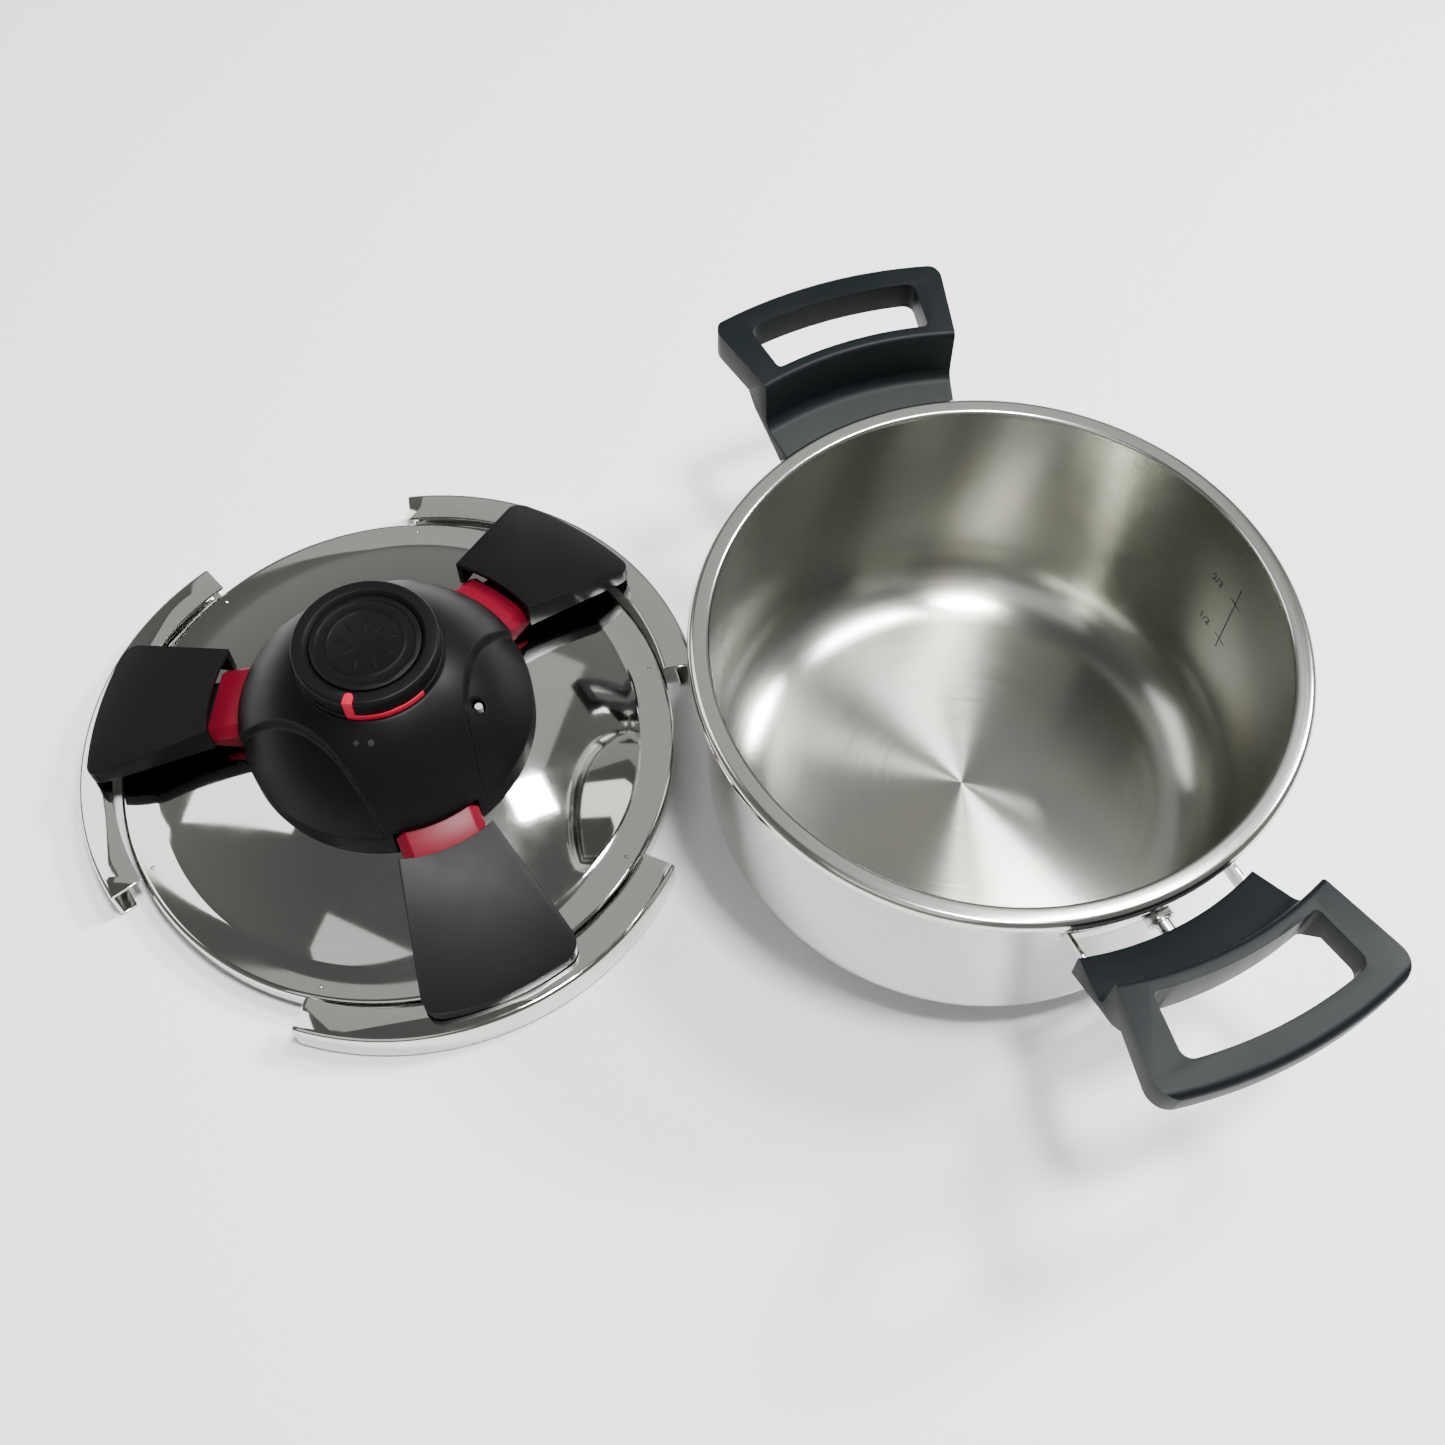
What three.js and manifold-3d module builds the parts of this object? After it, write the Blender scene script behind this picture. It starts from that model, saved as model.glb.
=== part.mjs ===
// A four-litre stovetop pressure cooker with its lid taken off and laid beside the pot.
//
// Millimetres, +Z up. The origin is the centre of the underside of the pot's base, and +X
// points towards the near side handle. The lid lies level on its three jaws, wide open.
// Every jaw is drawn closed, about the lid's own axis, and then slid out by the jaw travel.

import * as THREE from 'three';
import { ConvexGeometry } from 'three/addons/geometries/ConvexGeometry.js';
import { mergeVertices } from 'three/addons/utils/BufferGeometryUtils.js';
import Module from 'manifold-3d';

const wasm = await Module();
wasm.setup();

// ---------------------------------------------------------------- driving dimensions

const gap = 0.3;                 // clearance between pieces that touch
const slide = 0.5;               // clearance beside pieces that slide or turn
const far = 400;                 // beyond any piece, for cuts that run right through

// Pot
const potInnerR = 110;
const potDepth = 116.8;
const potWall = 1.2;
const potCornerR = 26;
const rimWidth = 8.4;
const rimEdgeR = 3;
const rimHem = 5.5;
const coreThickness = 3.6;
const capThickness = 0.8;

// Side handles, measured outwards from the pot's wall and down from its rim
const handleStandOff = 11.8;
const handleBearings = [['near', 2.3], ['far', 175.7]];
const handleLength = 62.5;
const handleInnerHalf = 38.5;    // half width at the pot
const handleOuterHalf = 54;      // half width at the outer edge
const loopAboveRim = 10;
const loopThickness = 13;
const blockBelowRim = 19;        // top inner edge of the handle block, below the rim
const blockHeight = 14;
const valleyReach = 16.5;        // from the handle's inner face to the foot of its steep wall
const slotReach = 26.5;          // from the inner face to the finger slot
const slotWidth = 24.5;
const slotHalf = 38;
const bracketThickness = 1.5;
const bracketHeight = 9;
const bracketHalf = 34;
const handleBoltR = 2.9;

// Lid
const lidBearing = -117.925;     // direction of the lid's axis from the pot's
const lidApart = 2.942;          // between the pot's rim and the circle of the closed jaws
const lidTurn = 1;               // degrees from +X to the first jaw arm
const lidOverhang = 2.3;         // beyond the pot's rim
const lidSheet = 1.2;
const lidBand = 13.5;            // width of the flat shoulder band
const lidBandZ = 15;             // top of the band above the table
const lidSkirt = 9;              // height of the turned-down edge
const domeRise = 24.7;
const gasketHeight = 4.6;

// Jaws, covers and their mechanism
const jawTravel = 13;
const jawHalfAngle = 42;         // degrees
const jawSheet = 1.5;
const jawClear = 4.8;            // from the lid's edge to a closed jaw's outer face
const jawAboveBand = 2.5;
const jawFlange = 14.5;
const jawLip = 7.5;
const carrierWidth = 16;
const carrierThickness = 3.4;
const footThickness = 2.4;       // of the same bar, where it is riveted to the jaw
const coverHeadroom = 2.5;       // of a cover's mouth above the dome, besides the climb
const coverClimb = 0.6;          // rise of the mouth per mm of travel, so that the bars pass below
const coverOuterRise = 7;        // of a cover's roof above its jaw, at the outer edge
const coverMouthSide = 14;       // height of a cover at its mouth
const coverWall = 2.5;
const coverInset = 6.5;          // from a closed jaw's outer face to its cover's edge
const coverOuterHalf = 35.5;
const coverBevel = 4.5;
const coverCornerR = 7;
const screwReach = 26.5;         // from the hub to a cover's screw
const bossR = 4.5;
const coverScrewR = 1.2;
const rivetR = 1.6;
const rivetHeadR = 2.7;
const rivetSpacing = 16;
const sleeveHalf = 17.8;
const sleeveWall = 2.2;
const sleeveRoof = 1.2;

// Hub, knob and spindle; rises are above the top of the dome
const hubR = 61.5;
const hubWall = 2.6;
const hubShoulderRise = 11.3;
const hubRise = 46.3;
const hubTopR = 30.5;
const dishInset = 38;            // nearest point of a dish to the lid axis
const dishEdgeR = 100;           // plan radius of a dish's inner edge
const dishLowRise = 4.8;
const dishDepth = 8;
const knobR = 29.5;
const knobRise = 58.3;
const knobSkirt = 8.2;
const capR = 22.4;
const capSink = 1;
const ringThickness = 3.2;
const tabWidth = 4;
const pointerAngle = -33;        // degrees from the first arm
const spindleR = 5;
const discR = 34;
const discThickness = 3;
const pinR = 3;
const pinReach = 27;             // cam pin from the axis when the jaws are open
const knobTurn = 60;             // degrees from open to closed

// Valves
const indicatorR = 44;
const indicatorAngle = 48;
const indicatorPinR = 1.6;
const indicatorRise = 28.3;      // of the pin's tip above the dome
const reliefR = 44;
const reliefAngle = 180;

// ---------------------------------------------------------------- derived places

const DEG = Math.PI / 180;
const floorZ = capThickness + coreThickness + 2 * gap + potWall;
const rimZ = floorZ + potDepth;
const potOuterR = potInnerR + potWall;
const rimR = potInnerR + rimWidth;
const flatR = potInnerR - potCornerR;

const handleInnerR = potOuterR + handleStandOff;
const handleOuterR = handleInnerR + handleLength;
const valleyR = handleInnerR + valleyReach;
const slotInnerR = handleInnerR + slotReach;
const slotOuterR = slotInnerR + slotWidth;
const loopTopZ = rimZ + loopAboveRim;
const loopBottomZ = loopTopZ - loopThickness;
const blockTopZ = rimZ - blockBelowRim;
const boltZ = blockTopZ - blockHeight / 2;

const lidEdgeR = rimR + lidOverhang;
const domeR = lidEdgeR - lidBand;
const domeTopZ = lidBandZ + domeRise;
const jawR = lidEdgeR + jawClear;
const jawHeight = lidBandZ + jawAboveBand;
const lidReach = rimR + jawR + lidApart;
const barZ = domeTopZ + 1.8;
const discZ = barZ + carrierThickness + gap;

const hubShoulderZ = domeTopZ + hubShoulderRise;
const hubTopZ = domeTopZ + hubRise;
const dishLowZ = domeTopZ + dishLowRise;
const knobTopZ = domeTopZ + knobRise;
const knobBottomZ = knobTopZ - knobSkirt;
const indicatorTopZ = domeTopZ + indicatorRise;

const mouthR = hubR + gap;
const coverOuterR = jawR - coverInset;
const coverTopZ = domeTopZ + coverHeadroom + coverClimb * jawTravel;
const coverSlope = (coverTopZ - jawHeight - coverOuterRise) / (coverOuterR - mouthR);
const coverScrewX = hubR + screwReach;
const coverMouthHalf = sleeveHalf + slide + gap + coverWall;
const sleeveTopZ = coverTopZ - coverWall - gap;
const rivetX = coverOuterR - coverWall - rivetHeadR - slide;
const rivetPlaces = [-rivetSpacing / 2, rivetSpacing / 2];

// ---------------------------------------------------------------- materials

const steel = (color, roughness) => new THREE.MeshStandardMaterial({ color, roughness, metalness: 1 });
const plastic = (color, roughness) => new THREE.MeshStandardMaterial({ color, roughness, metalness: 0 });
const finishes = {
  brushed: () => steel(0xc9ccc8, 0.32),
  mirror: () => steel(0xd8d8d4, 0.06),
  plated: () => steel(0xb4b6b4, 0.25),
  aluminium: () => steel(0xb9bcbe, 0.4),
  bakelite: () => plastic(0x1a2022, 0.55),
  matteBlack: () => plastic(0x1b1c1e, 0.6),
  red: () => plastic(0x8b1a2e, 0.4),
  silicone: () => plastic(0xb9b9b4, 0.6),
};

// ---------------------------------------------------------------- solids

// A closed geometry as a manifold-3d solid.
function solid(geometry) {
  const bare = geometry.index ? geometry.toNonIndexed() : geometry.clone();
  bare.deleteAttribute('normal');
  bare.deleteAttribute('uv');
  const merged = mergeVertices(bare, 1e-4);
  return new wasm.Manifold(new wasm.Mesh({
    numProp: 3,
    vertProperties: merged.attributes.position.array,
    triVerts: new Uint32Array(merged.index.array),
  }));
}

// A manifold-3d solid as a three.js geometry.
function geometryOf(manifold) {
  const mesh = manifold.getMesh();
  const geometry = new THREE.BufferGeometry();
  geometry.setAttribute('position', new THREE.BufferAttribute(mesh.vertProperties, 3));
  geometry.setIndex(new THREE.BufferAttribute(mesh.triVerts, 1));
  return geometry;
}

const without = (base, ...cuts) => cuts.reduce((whole, cut) => whole.subtract(cut), base);

// The same solid turned about the Z axis.
const spun = (manifold, degrees) => solid(geometryOf(manifold).rotateZ(degrees * DEG));

const polar = (radius, degrees) => [radius * Math.cos(degrees * DEG), radius * Math.sin(degrees * DEG)];

// A closed outline of [r, z] points, listed anticlockwise, turned about the Z axis.
function turned(outline, segments = 36) {
  const points = outline.map(([r, z]) => new THREE.Vector2(r, z));
  const first = outline[0];
  const last = outline[outline.length - 1];
  const onAxis = first[0] === 0 && last[0] === 0;
  if (!onAxis) points.push(points[0].clone());
  return solid(new THREE.LatheGeometry(points, segments).rotateX(Math.PI / 2));
}

// A vertical cylinder between two heights, optionally away from the axis.
function rod(radius, z0, z1, x = 0, y = 0, segments = 12) {
  const geometry = new THREE.CylinderGeometry(radius, radius, z1 - z0, segments);
  return solid(geometry.rotateX(Math.PI / 2).translate(x, y, (z0 + z1) / 2));
}

// A cylinder along X between two places.
function crossRod(radius, x0, x1, z, segments = 12) {
  const geometry = new THREE.CylinderGeometry(radius, radius, x1 - x0, segments);
  return solid(geometry.rotateZ(Math.PI / 2).translate((x0 + x1) / 2, 0, z));
}

function block(x0, x1, y0, y1, z0, z1) {
  const geometry = new THREE.BoxGeometry(x1 - x0, y1 - y0, z1 - z0);
  return solid(geometry.translate((x0 + x1) / 2, (y0 + y1) / 2, (z0 + z1) / 2));
}

// A flat outline of [x, y] points raised between two heights.
function raised(outline, z0, z1, curveSegments = 12) {
  const shape = outline instanceof THREE.Shape ? outline
    : new THREE.Shape(outline.map(([x, y]) => new THREE.Vector2(x, y)));
  const geometry = new THREE.ExtrudeGeometry(shape, {
    depth: z1 - z0, bevelEnabled: false, curveSegments,
  });
  return solid(geometry.translate(0, 0, z0));
}

// A side outline of [x, z] points carried across from y = -half to y = +half.
function carried(outline, half) {
  const shape = new THREE.Shape(outline.map(([x, z]) => new THREE.Vector2(x, z)));
  const geometry = new THREE.ExtrudeGeometry(shape, { depth: 2 * half, bevelEnabled: false });
  return solid(geometry.rotateX(Math.PI / 2).translate(0, half, 0));
}

// Points of an arc about (r, z), in degrees, ends included.
function arc(r, z, radius, from, to, steps) {
  return Array.from({ length: steps + 1 }, (_, i) => {
    const a = (from + ((to - from) * i) / steps) * DEG;
    return [r + radius * Math.cos(a), z + radius * Math.sin(a)];
  });
}

// Points of a quadratic curve, ends included.
function bend(a, b, c, steps) {
  return Array.from({ length: steps + 1 }, (_, i) => {
    const t = i / steps;
    const u = 1 - t;
    return [0, 1].map((k) => u * u * a[k] + 2 * u * t * b[k] + t * t * c[k]);
  });
}

const hull = (points) => solid(new ConvexGeometry(points.map((p) => new THREE.Vector3(...p))));

function part(group, name, manifold, material) {
  const mesh = new THREE.Mesh(geometryOf(manifold), material);
  mesh.name = name;
  group.add(mesh);
}

// A group turned about a vertical axis.
function turnedGroup(parent, degrees, x = 0, y = 0) {
  const group = new THREE.Group();
  group.position.set(x, y, 0);
  group.rotation.z = degrees * DEG;
  parent.add(group);
  return group;
}

// ---------------------------------------------------------------- pot

function potBody() {
  const underZ = floorZ - potWall;
  const cornerZ = floorZ + potCornerR;
  const hemZ = rimZ - rimHem;
  const inside = rimR - potWall;
  return turned([
    [0, underZ],
    ...arc(flatR, cornerZ, potCornerR + potWall, -90, 0, 4),
    [potOuterR, rimZ - potWall - 1.3],
    [potOuterR + 1.3, rimZ - potWall],
    ...arc(rimR - rimEdgeR, rimZ - rimEdgeR, rimEdgeR - potWall, 90, 0, 2),
    [inside, hemZ],
    [rimR, hemZ],
    ...arc(rimR - rimEdgeR, rimZ - rimEdgeR, rimEdgeR, 0, 90, 3),
    [potInnerR + 1.5, rimZ],
    [potInnerR, rimZ - 1.5],
    ...arc(flatR, cornerZ, potCornerR, 0, -90, 4),
    [0, floorZ],
  ], 56);
}

function baseCore() {
  const z = capThickness + gap;
  return turned([[0, z], [flatR - 2, z], [flatR - 2, z + coreThickness], [0, z + coreThickness]]);
}

function baseCap() {
  const inner = flatR - 2 + gap;
  const outer = inner + capThickness;
  const top = capThickness + coreThickness;
  return turned([
    [0, 0], [outer - 1, 0], [outer, 1], [outer, top], [inner, top], [inner, capThickness], [0, capThickness],
  ]);
}

// Side outline of a handle at its middle, from the pot outwards.
function handleOutline() {
  const stepR = slotInnerR + 5;
  return [
    [handleInnerR, blockTopZ - blockHeight],
    [stepR - 12, loopBottomZ - 14],
    [stepR - 3, loopBottomZ - 7],
    [stepR + 2, loopBottomZ],
    [handleOuterR - 2, loopBottomZ],
    [handleOuterR, loopBottomZ + 2],
    [handleOuterR, loopTopZ - 3],
    [handleOuterR - 3, loopTopZ],
    [valleyR + 6, loopTopZ],
    [valleyR + 4.2, loopTopZ - 1.5],
    ...arc(valleyR - 2.2, blockTopZ + 10.4, 6, -10, -80, 4),
    [handleInnerR + 1, blockTopZ + 0.4],
    [handleInnerR, blockTopZ - 0.8],
  ];
}

function handleFlank(half0, half1, r0, r1) {
  const slope = (half1 - half0) / (r1 - r0);
  const at = (x) => half0 + (x - r0) * slope;
  return [[r0 - 40, -at(r0 - 40)], [r1 + 20, -at(r1 + 20)], [r1 + 20, at(r1 + 20)], [r0 - 40, at(r0 - 40)]];
}

function sideHandle() {
  const plan = raised(handleFlank(handleInnerHalf, handleOuterHalf, handleInnerR, handleOuterR), 0, far);
  const body = turned(handleOutline(), 120).intersect(plan);
  const slot = turned([[slotInnerR, 0], [slotOuterR, 0], [slotOuterR, far], [slotInnerR, far]], 120)
    .intersect(raised(handleFlank(slotHalf - 4, slotHalf, slotInnerR, slotOuterR), 0, far));
  const socket = block(
    handleInnerR - 10, handleInnerR + 5,
    -bracketHalf - bracketThickness - gap, bracketHalf + bracketThickness + gap,
    boltZ - bracketHeight / 2 - gap, boltZ + bracketHeight / 2 + gap,
  );
  const bore = crossRod(handleBoltR + gap, handleInnerR, handleInnerR + 30, boltZ);
  const headPocket = crossRod(handleBoltR * 2 + 1, handleInnerR + 9, handleInnerR + 40, boltZ);
  return without(body, slot, socket, bore, headPocket);
}

function handleBracket() {
  const z0 = boltZ - bracketHeight / 2;
  const z1 = boltZ + bracketHeight / 2;
  const inner = potOuterR + gap;
  const outer = inner + bracketThickness;
  const web = turned([[inner, z0], [outer, z0], [outer, z1], [inner, z1]], 90)
    .intersect(block(0, far, -bracketHalf, bracketHalf, z0 - 1, z1 + 1));
  const wingStart = Math.sqrt(inner ** 2 - bracketHalf ** 2) + 0.2;
  const wing = (y) => block(wingStart, handleInnerR + 4, y, y + bracketThickness, z0, z1);
  return without(
    web.add(wing(bracketHalf - 0.6)).add(wing(-bracketHalf - bracketThickness + 0.6)),
    crossRod(handleBoltR + gap, inner - 5, outer + 5, boltZ),
  );
}

function bracketNut() {
  const start = potOuterR + 2 * gap + bracketThickness;
  return without(
    crossRod(6, start, start + 4, boltZ, 6),
    crossRod(handleBoltR + gap, start - 2, start + 8, boltZ),
  );
}

function handleBolt() {
  const headX = handleInnerR + 9 + gap;
  return crossRod(handleBoltR, potOuterR + gap + bracketThickness, headX + 1, boltZ)
    .add(crossRod(handleBoltR * 1.8, headX, headX + 3, boltZ));
}

function buildPot(root) {
  part(root, 'pot_body', potBody(), finishes.brushed());
  part(root, 'base_core', baseCore(), finishes.aluminium());
  part(root, 'base_cap', baseCap(), finishes.mirror());
  for (const [side, degrees] of handleBearings) {
    const group = turnedGroup(root, degrees);
    part(group, `handle_${side}`, sideHandle(), finishes.bakelite());
    part(group, `bracket_${side}`, handleBracket(), finishes.mirror());
    part(group, `bracket_nut_${side}`, bracketNut(), finishes.plated());
    part(group, `handle_bolt_${side}`, handleBolt(), finishes.plated());
  }
}

// ---------------------------------------------------------------- lid

const domeZ = (r) => lidBandZ + domeRise * (1 - (r / domeR) ** 2);

function domeLine(offset, from, to, steps) {
  return Array.from({ length: steps + 1 }, (_, i) => {
    const r = from + ((to - from) * i) / steps;
    return [r, domeZ(r) + offset];
  });
}

function lidShell() {
  const hole = spindleR + gap + 1.4 + gap;
  const under = lidBandZ - lidSheet;
  const shell = turned([
    ...domeLine(-lidSheet, hole, domeR, 5),
    [lidEdgeR - lidSheet - 0.6, under],
    [lidEdgeR - lidSheet, under - 0.6],
    [lidEdgeR - lidSheet, lidBandZ - lidSkirt],
    [lidEdgeR, lidBandZ - lidSkirt],
    [lidEdgeR, lidBandZ - 1.7],
    [lidEdgeR - 1.7, lidBandZ],
    ...domeLine(0, domeR, hole, 5),
  ], 56);
  return without(shell, valveHole(indicatorR, indicatorAngle, 3.6), valveHole(reliefR, reliefAngle, 5.3));
}

function valveHole(reach, degrees, radius, z0 = 0, z1 = far) {
  return rod(radius, z0, z1, ...polar(reach, degrees), 16);
}

// The seal lies under the band, inside the turned-down edge.
function gasket() {
  const top = lidBandZ - lidSheet - gap;
  const outer = lidEdgeR - lidSheet - gap;
  return turned([
    [outer - 11, top - 1.6], [outer - 9, top - gasketHeight], [outer - 7.5, top - gasketHeight],
    [outer - 8, top - 2], [outer - 0.8, top - 2], [outer, top - 1.2], [outer, top - 0.8],
    [outer - 0.8, top], [outer - 10, top],
  ]);
}

// Plate under the jaw bars: flat on top, following the dome below, open where the bars dip.
function hubBase() {
  const top = barZ - gap;
  const outer = hubR - hubWall - slide;
  const plate = turned([
    ...domeLine(gap, spindleR + 5, outer, 5),
    [outer, domeZ(outer) + 3],
    [outer - 8, domeZ(outer) + 3],
    [outer - 14, top],
    [spindleR + 5, top],
  ]);
  const corridor = block(hubR - jawTravel - 7, hubR, -carrierWidth, carrierWidth, 0, far);
  return without(
    plate,
    ...arms.map(([, degrees]) => spun(corridor, degrees)),
    valveHole(indicatorR, indicatorAngle, 8),
    valveHole(reliefR, reliefAngle, 9),
  );
}

function hubSurface(inset) {
  return bend(
    [hubTopR - inset * 0.6, hubTopZ - inset],
    [hubTopR + 17.5 - inset * 0.8, hubTopZ - 10 - inset],
    [hubR - inset, hubShoulderZ - inset * 0.3],
    4,
  ).reverse();
}

function hubFloor(inset) {
  return bend(
    [dishInset - 4 - inset, hubTopZ - dishDepth - 1 - inset],
    [dishInset + 12 - inset, hubTopZ - 18 - inset],
    [hubR - inset, dishLowZ - inset * 0.5],
    4,
  ).reverse();
}

// The dome without its dishes, or the lower dome that the dishes are sunk to.
function domeSolid(surface, inset, bottom) {
  const outline = surface(inset);
  return turned([[0, bottom], [hubR - inset, bottom], ...outline, [0, outline.at(-1)[1]]]);
}

function dishPrism(degrees, inset) {
  return rod(dishEdgeR + inset, 0, far, ...polar(dishInset + dishEdgeR, degrees), 60);
}

function dishedDome(inset, bottom) {
  const high = domeSolid(hubSurface, inset, bottom);
  const low = domeSolid(hubFloor, inset, bottom);
  const prisms = [60, 180, 300].map((a) => dishPrism(a, inset));
  return without(high, ...prisms).add(low.intersect(high));
}

function hubCover() {
  const bottom = domeZ(hubR - hubWall) + gap;
  const shell = without(
    dishedDome(0, bottom),
    dishedDome(hubWall, bottom - 5),
    rod(spindleR + 5, 0, far, 0, 0, 12),
  );
  const doors = arms.map(([, degrees]) => spun(sleeveDoor(), degrees));
  const peep = valveHole(indicatorR, indicatorAngle, indicatorPinR + 1.2);
  return without(shell, ...doors, peep);
}

function sleeveDoor() {
  return block(hubR - 8, hubR + 5, -sleeveHalf - gap, sleeveHalf + gap, 0,
    sleeveTopZ + coverSlope * hubWall + gap);
}

// Red guide that a jaw cover slides over. It follows the slope of the cover's roof.
function guideSleeve() {
  const x0 = hubR - hubWall;
  const x1 = hubR + jawTravel + 1.2;
  const outer = sleevePrism(x0, x1, sleeveHalf, sleeveTopZ, coverBevel - 0.5);
  const inner = sleevePrism(x0 - 1, x1 + 1, sleeveHalf - sleeveWall, sleeveTopZ - sleeveRoof, coverBevel - 1);
  const under = barZ - 7;
  return without(outer, inner, block(x0 - 5, x1 + 5, -far, far, 0, under));
}

function sleevePrism(x0, x1, half, topZ, bevel) {
  const roof = (x) => topZ - coverSlope * (x - hubR);
  return hull([x0, x1].flatMap((x) => [-1, 1].flatMap((s) => [
    [x, s * half, lidBandZ],
    [x, s * half, roof(x) - bevel],
    [x, s * (half - bevel), roof(x)],
  ])));
}

function spindleBush() {
  const bore = spindleR + gap;
  const hole = bore + 1.4;
  const under = domeZ(hole) - lidSheet - gap;
  const top = barZ - gap;
  return turned([[bore, under - 1.6], [bore + 6, under - 2.6], [bore + 6, under - 1], [hole, under],
    [hole, top], [bore, top]], 20);
}

function buildLid(lid) {
  part(lid, 'lid_shell', lidShell(), finishes.mirror());
  part(lid, 'gasket', gasket(), finishes.silicone());
  part(lid, 'hub_base', hubBase(), finishes.matteBlack());
  part(lid, 'hub_cover', hubCover(), finishes.matteBlack());
  part(lid, 'spindle_bush', spindleBush(), finishes.aluminium());
  for (const [name, degrees] of arms) {
    part(turnedGroup(lid, degrees), `guide_sleeve_${name}`, guideSleeve(), finishes.red());
  }
  buildIndicator(turnedGroup(lid, indicatorAngle));
  buildRelief(turnedGroup(lid, reliefAngle));
}

// ---------------------------------------------------------------- valves

// Pressure indicator: a seat clamped in the lid, a flanged pin that rises, and its nut.
function buildIndicator(group) {
  const x = indicatorR;
  const under = domeZ(indicatorR) - lidSheet - 1.6;
  const seatTop = domeZ(indicatorR) + 5;
  const bore = indicatorPinR + slide;
  const seat = without(
    rod(3.2, under, seatTop, x).add(rod(6.5, under - 2, under, x)),
    rod(bore, under - 5, seatTop + 5, x),
  );
  part(group, 'indicator_seat', seat, finishes.silicone());
  const nut = without(rod(5.5, domeZ(x) + 2.2, seatTop - 0.4, x, 0, 6), rod(3.5, 0, far, x));
  part(group, 'indicator_nut', nut, finishes.plated());
  const pin = rod(indicatorPinR, under - 6, indicatorTopZ, x)
    .add(rod(indicatorPinR + 2, seatTop + 0.4, seatTop + 1.6, x, 0, 12));
  part(group, 'indicator_pin', pin, finishes.plated());
}

// Relief valve: a threaded seat, a plunger pressed down by a spring, and a cap nut.
function buildRelief(group) {
  const x = reliefR;
  const under = domeZ(reliefR) - lidSheet - 1.8;
  const top = domeZ(reliefR) + 12;
  const seat = without(
    rod(5, under, top, x).add(rod(8, under - 2, under, x, 0, 6)),
    rod(1.6, under - 5, under + 5, x),
    rod(4, under + 4, top + 1, x),
  );
  part(group, 'relief_seat', seat, finishes.plated());
  const nutZ = domeZ(x) + 2.4;
  const nut = without(rod(8, nutZ, nutZ + 3.2, x, 0, 6), rod(5.3, 0, far, x));
  part(group, 'relief_nut', nut, finishes.plated());
  const plunger = rod(3.5, under + 4.3, under + 6.3, x, 0, 12).add(rod(1.2, under + 6, under + 9, x, 0, 12));
  part(group, 'relief_plunger', plunger, finishes.plated());
  part(group, 'relief_spring', reliefSpring(x, under + 7.1, top - 1.5), finishes.plated());
  const cap = rod(5, top + gap, top + 2, x).add(rod(1.5, top - 1, top + 1, x));
  part(group, 'relief_cap', cap, finishes.plated());
}

function reliefSpring(x, z0, z1) {
  const turns = 3;
  const steps = turns * 10;
  const points = Array.from({ length: steps + 1 }, (_, i) => {
    const a = (i / steps) * turns * 2 * Math.PI;
    return new THREE.Vector3(x + 2.7 * Math.cos(a), 2.7 * Math.sin(a), z0 + ((z1 - z0) * i) / steps);
  });
  const section = new THREE.Shape().absarc(0, 0, 0.45, 0, 2 * Math.PI, false);
  return solid(new THREE.ExtrudeGeometry(section, {
    steps, curveSegments: 3, bevelEnabled: false, extrudePath: new THREE.CatmullRomCurve3(points),
  }));
}

// ---------------------------------------------------------------- knob and cam

function knobBody() {
  const recessR = capR + gap;
  const floorTop = knobTopZ - capSink - 3.1;
  const stemR = spindleR + 3.5;
  const body = turned([
    [spindleR + gap, hubTopZ - 10], [stemR, hubTopZ - 10], [stemR, knobBottomZ + 1.5],
    [knobR - 3, knobBottomZ + 1.5], [knobR - 3, knobBottomZ], [knobR - 0.6, knobBottomZ],
    [knobR, knobBottomZ + 0.6], [knobR, knobTopZ - 1.2], [knobR - 1.2, knobTopZ],
    [recessR + 1.8, knobTopZ], [recessR, knobTopZ - 1.4], [recessR, floorTop],
    [2.3, floorTop], [2.3, floorTop - 1.6], [spindleR + gap, floorTop - 1.6],
  ]);
  const notch = block(knobR - 5 - gap, knobR + 5, -tabWidth / 2 - gap, tabWidth / 2 + gap,
    knobBottomZ - 1, knobTopZ + 1);
  return without(body, spun(notch, pointerAngle));
}

function pointerRing() {
  const top = knobBottomZ - gap;
  const ring = turned([
    [spindleR + 4, top - ringThickness], [knobR + 0.4, top - ringThickness], [knobR + 0.4, top],
    [spindleR + 4, top],
  ]);
  const tab = block(knobR - 5, knobR + 0.2, -tabWidth / 2, tabWidth / 2, top - 1, knobTopZ + 0.2);
  return ring.add(spun(tab, pointerAngle));
}

function knobCap() {
  const top = knobTopZ - capSink;
  return turned([[0, top - 2.8 + 1.8], [6, top - 1], [6, top - 2.8], [capR, top - 2.8], [capR, top - 0.4],
    [capR - 0.4, top], [0, top]], 48);
}

function knobScrew() {
  const seat = knobTopZ - capSink - 3.1 + gap;
  return rod(2, seat - 12, seat + 0.5, 0, 0, 12).add(rod(4, seat, seat + 1.6, 0, 0, 12));
}

function spindle() {
  const bottom = domeZ(0) - lidSheet - 12;
  const top = knobTopZ - capSink - 5;
  const collarZ = discZ + discThickness + gap;
  return without(
    rod(spindleR, bottom, top, 0, 0, 12).add(rod(9, collarZ, collarZ + 3, 0, 0, 12)),
    rod(2.3, top - 13, top + 1, 0, 0, 12),
  );
}

function spindleWasher() {
  const top = domeZ(0) - lidSheet - 4;
  return turned([[spindleR + gap, top - 1.5], [12, top - 1.5], [12, top], [spindleR + gap, top]], 20);
}

function spindleNut() {
  const top = domeZ(0) - lidSheet - 5.8;
  return without(rod(9, top - 4.5, top, 0, 0, 6), rod(spindleR + gap, 0, far));
}

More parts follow.
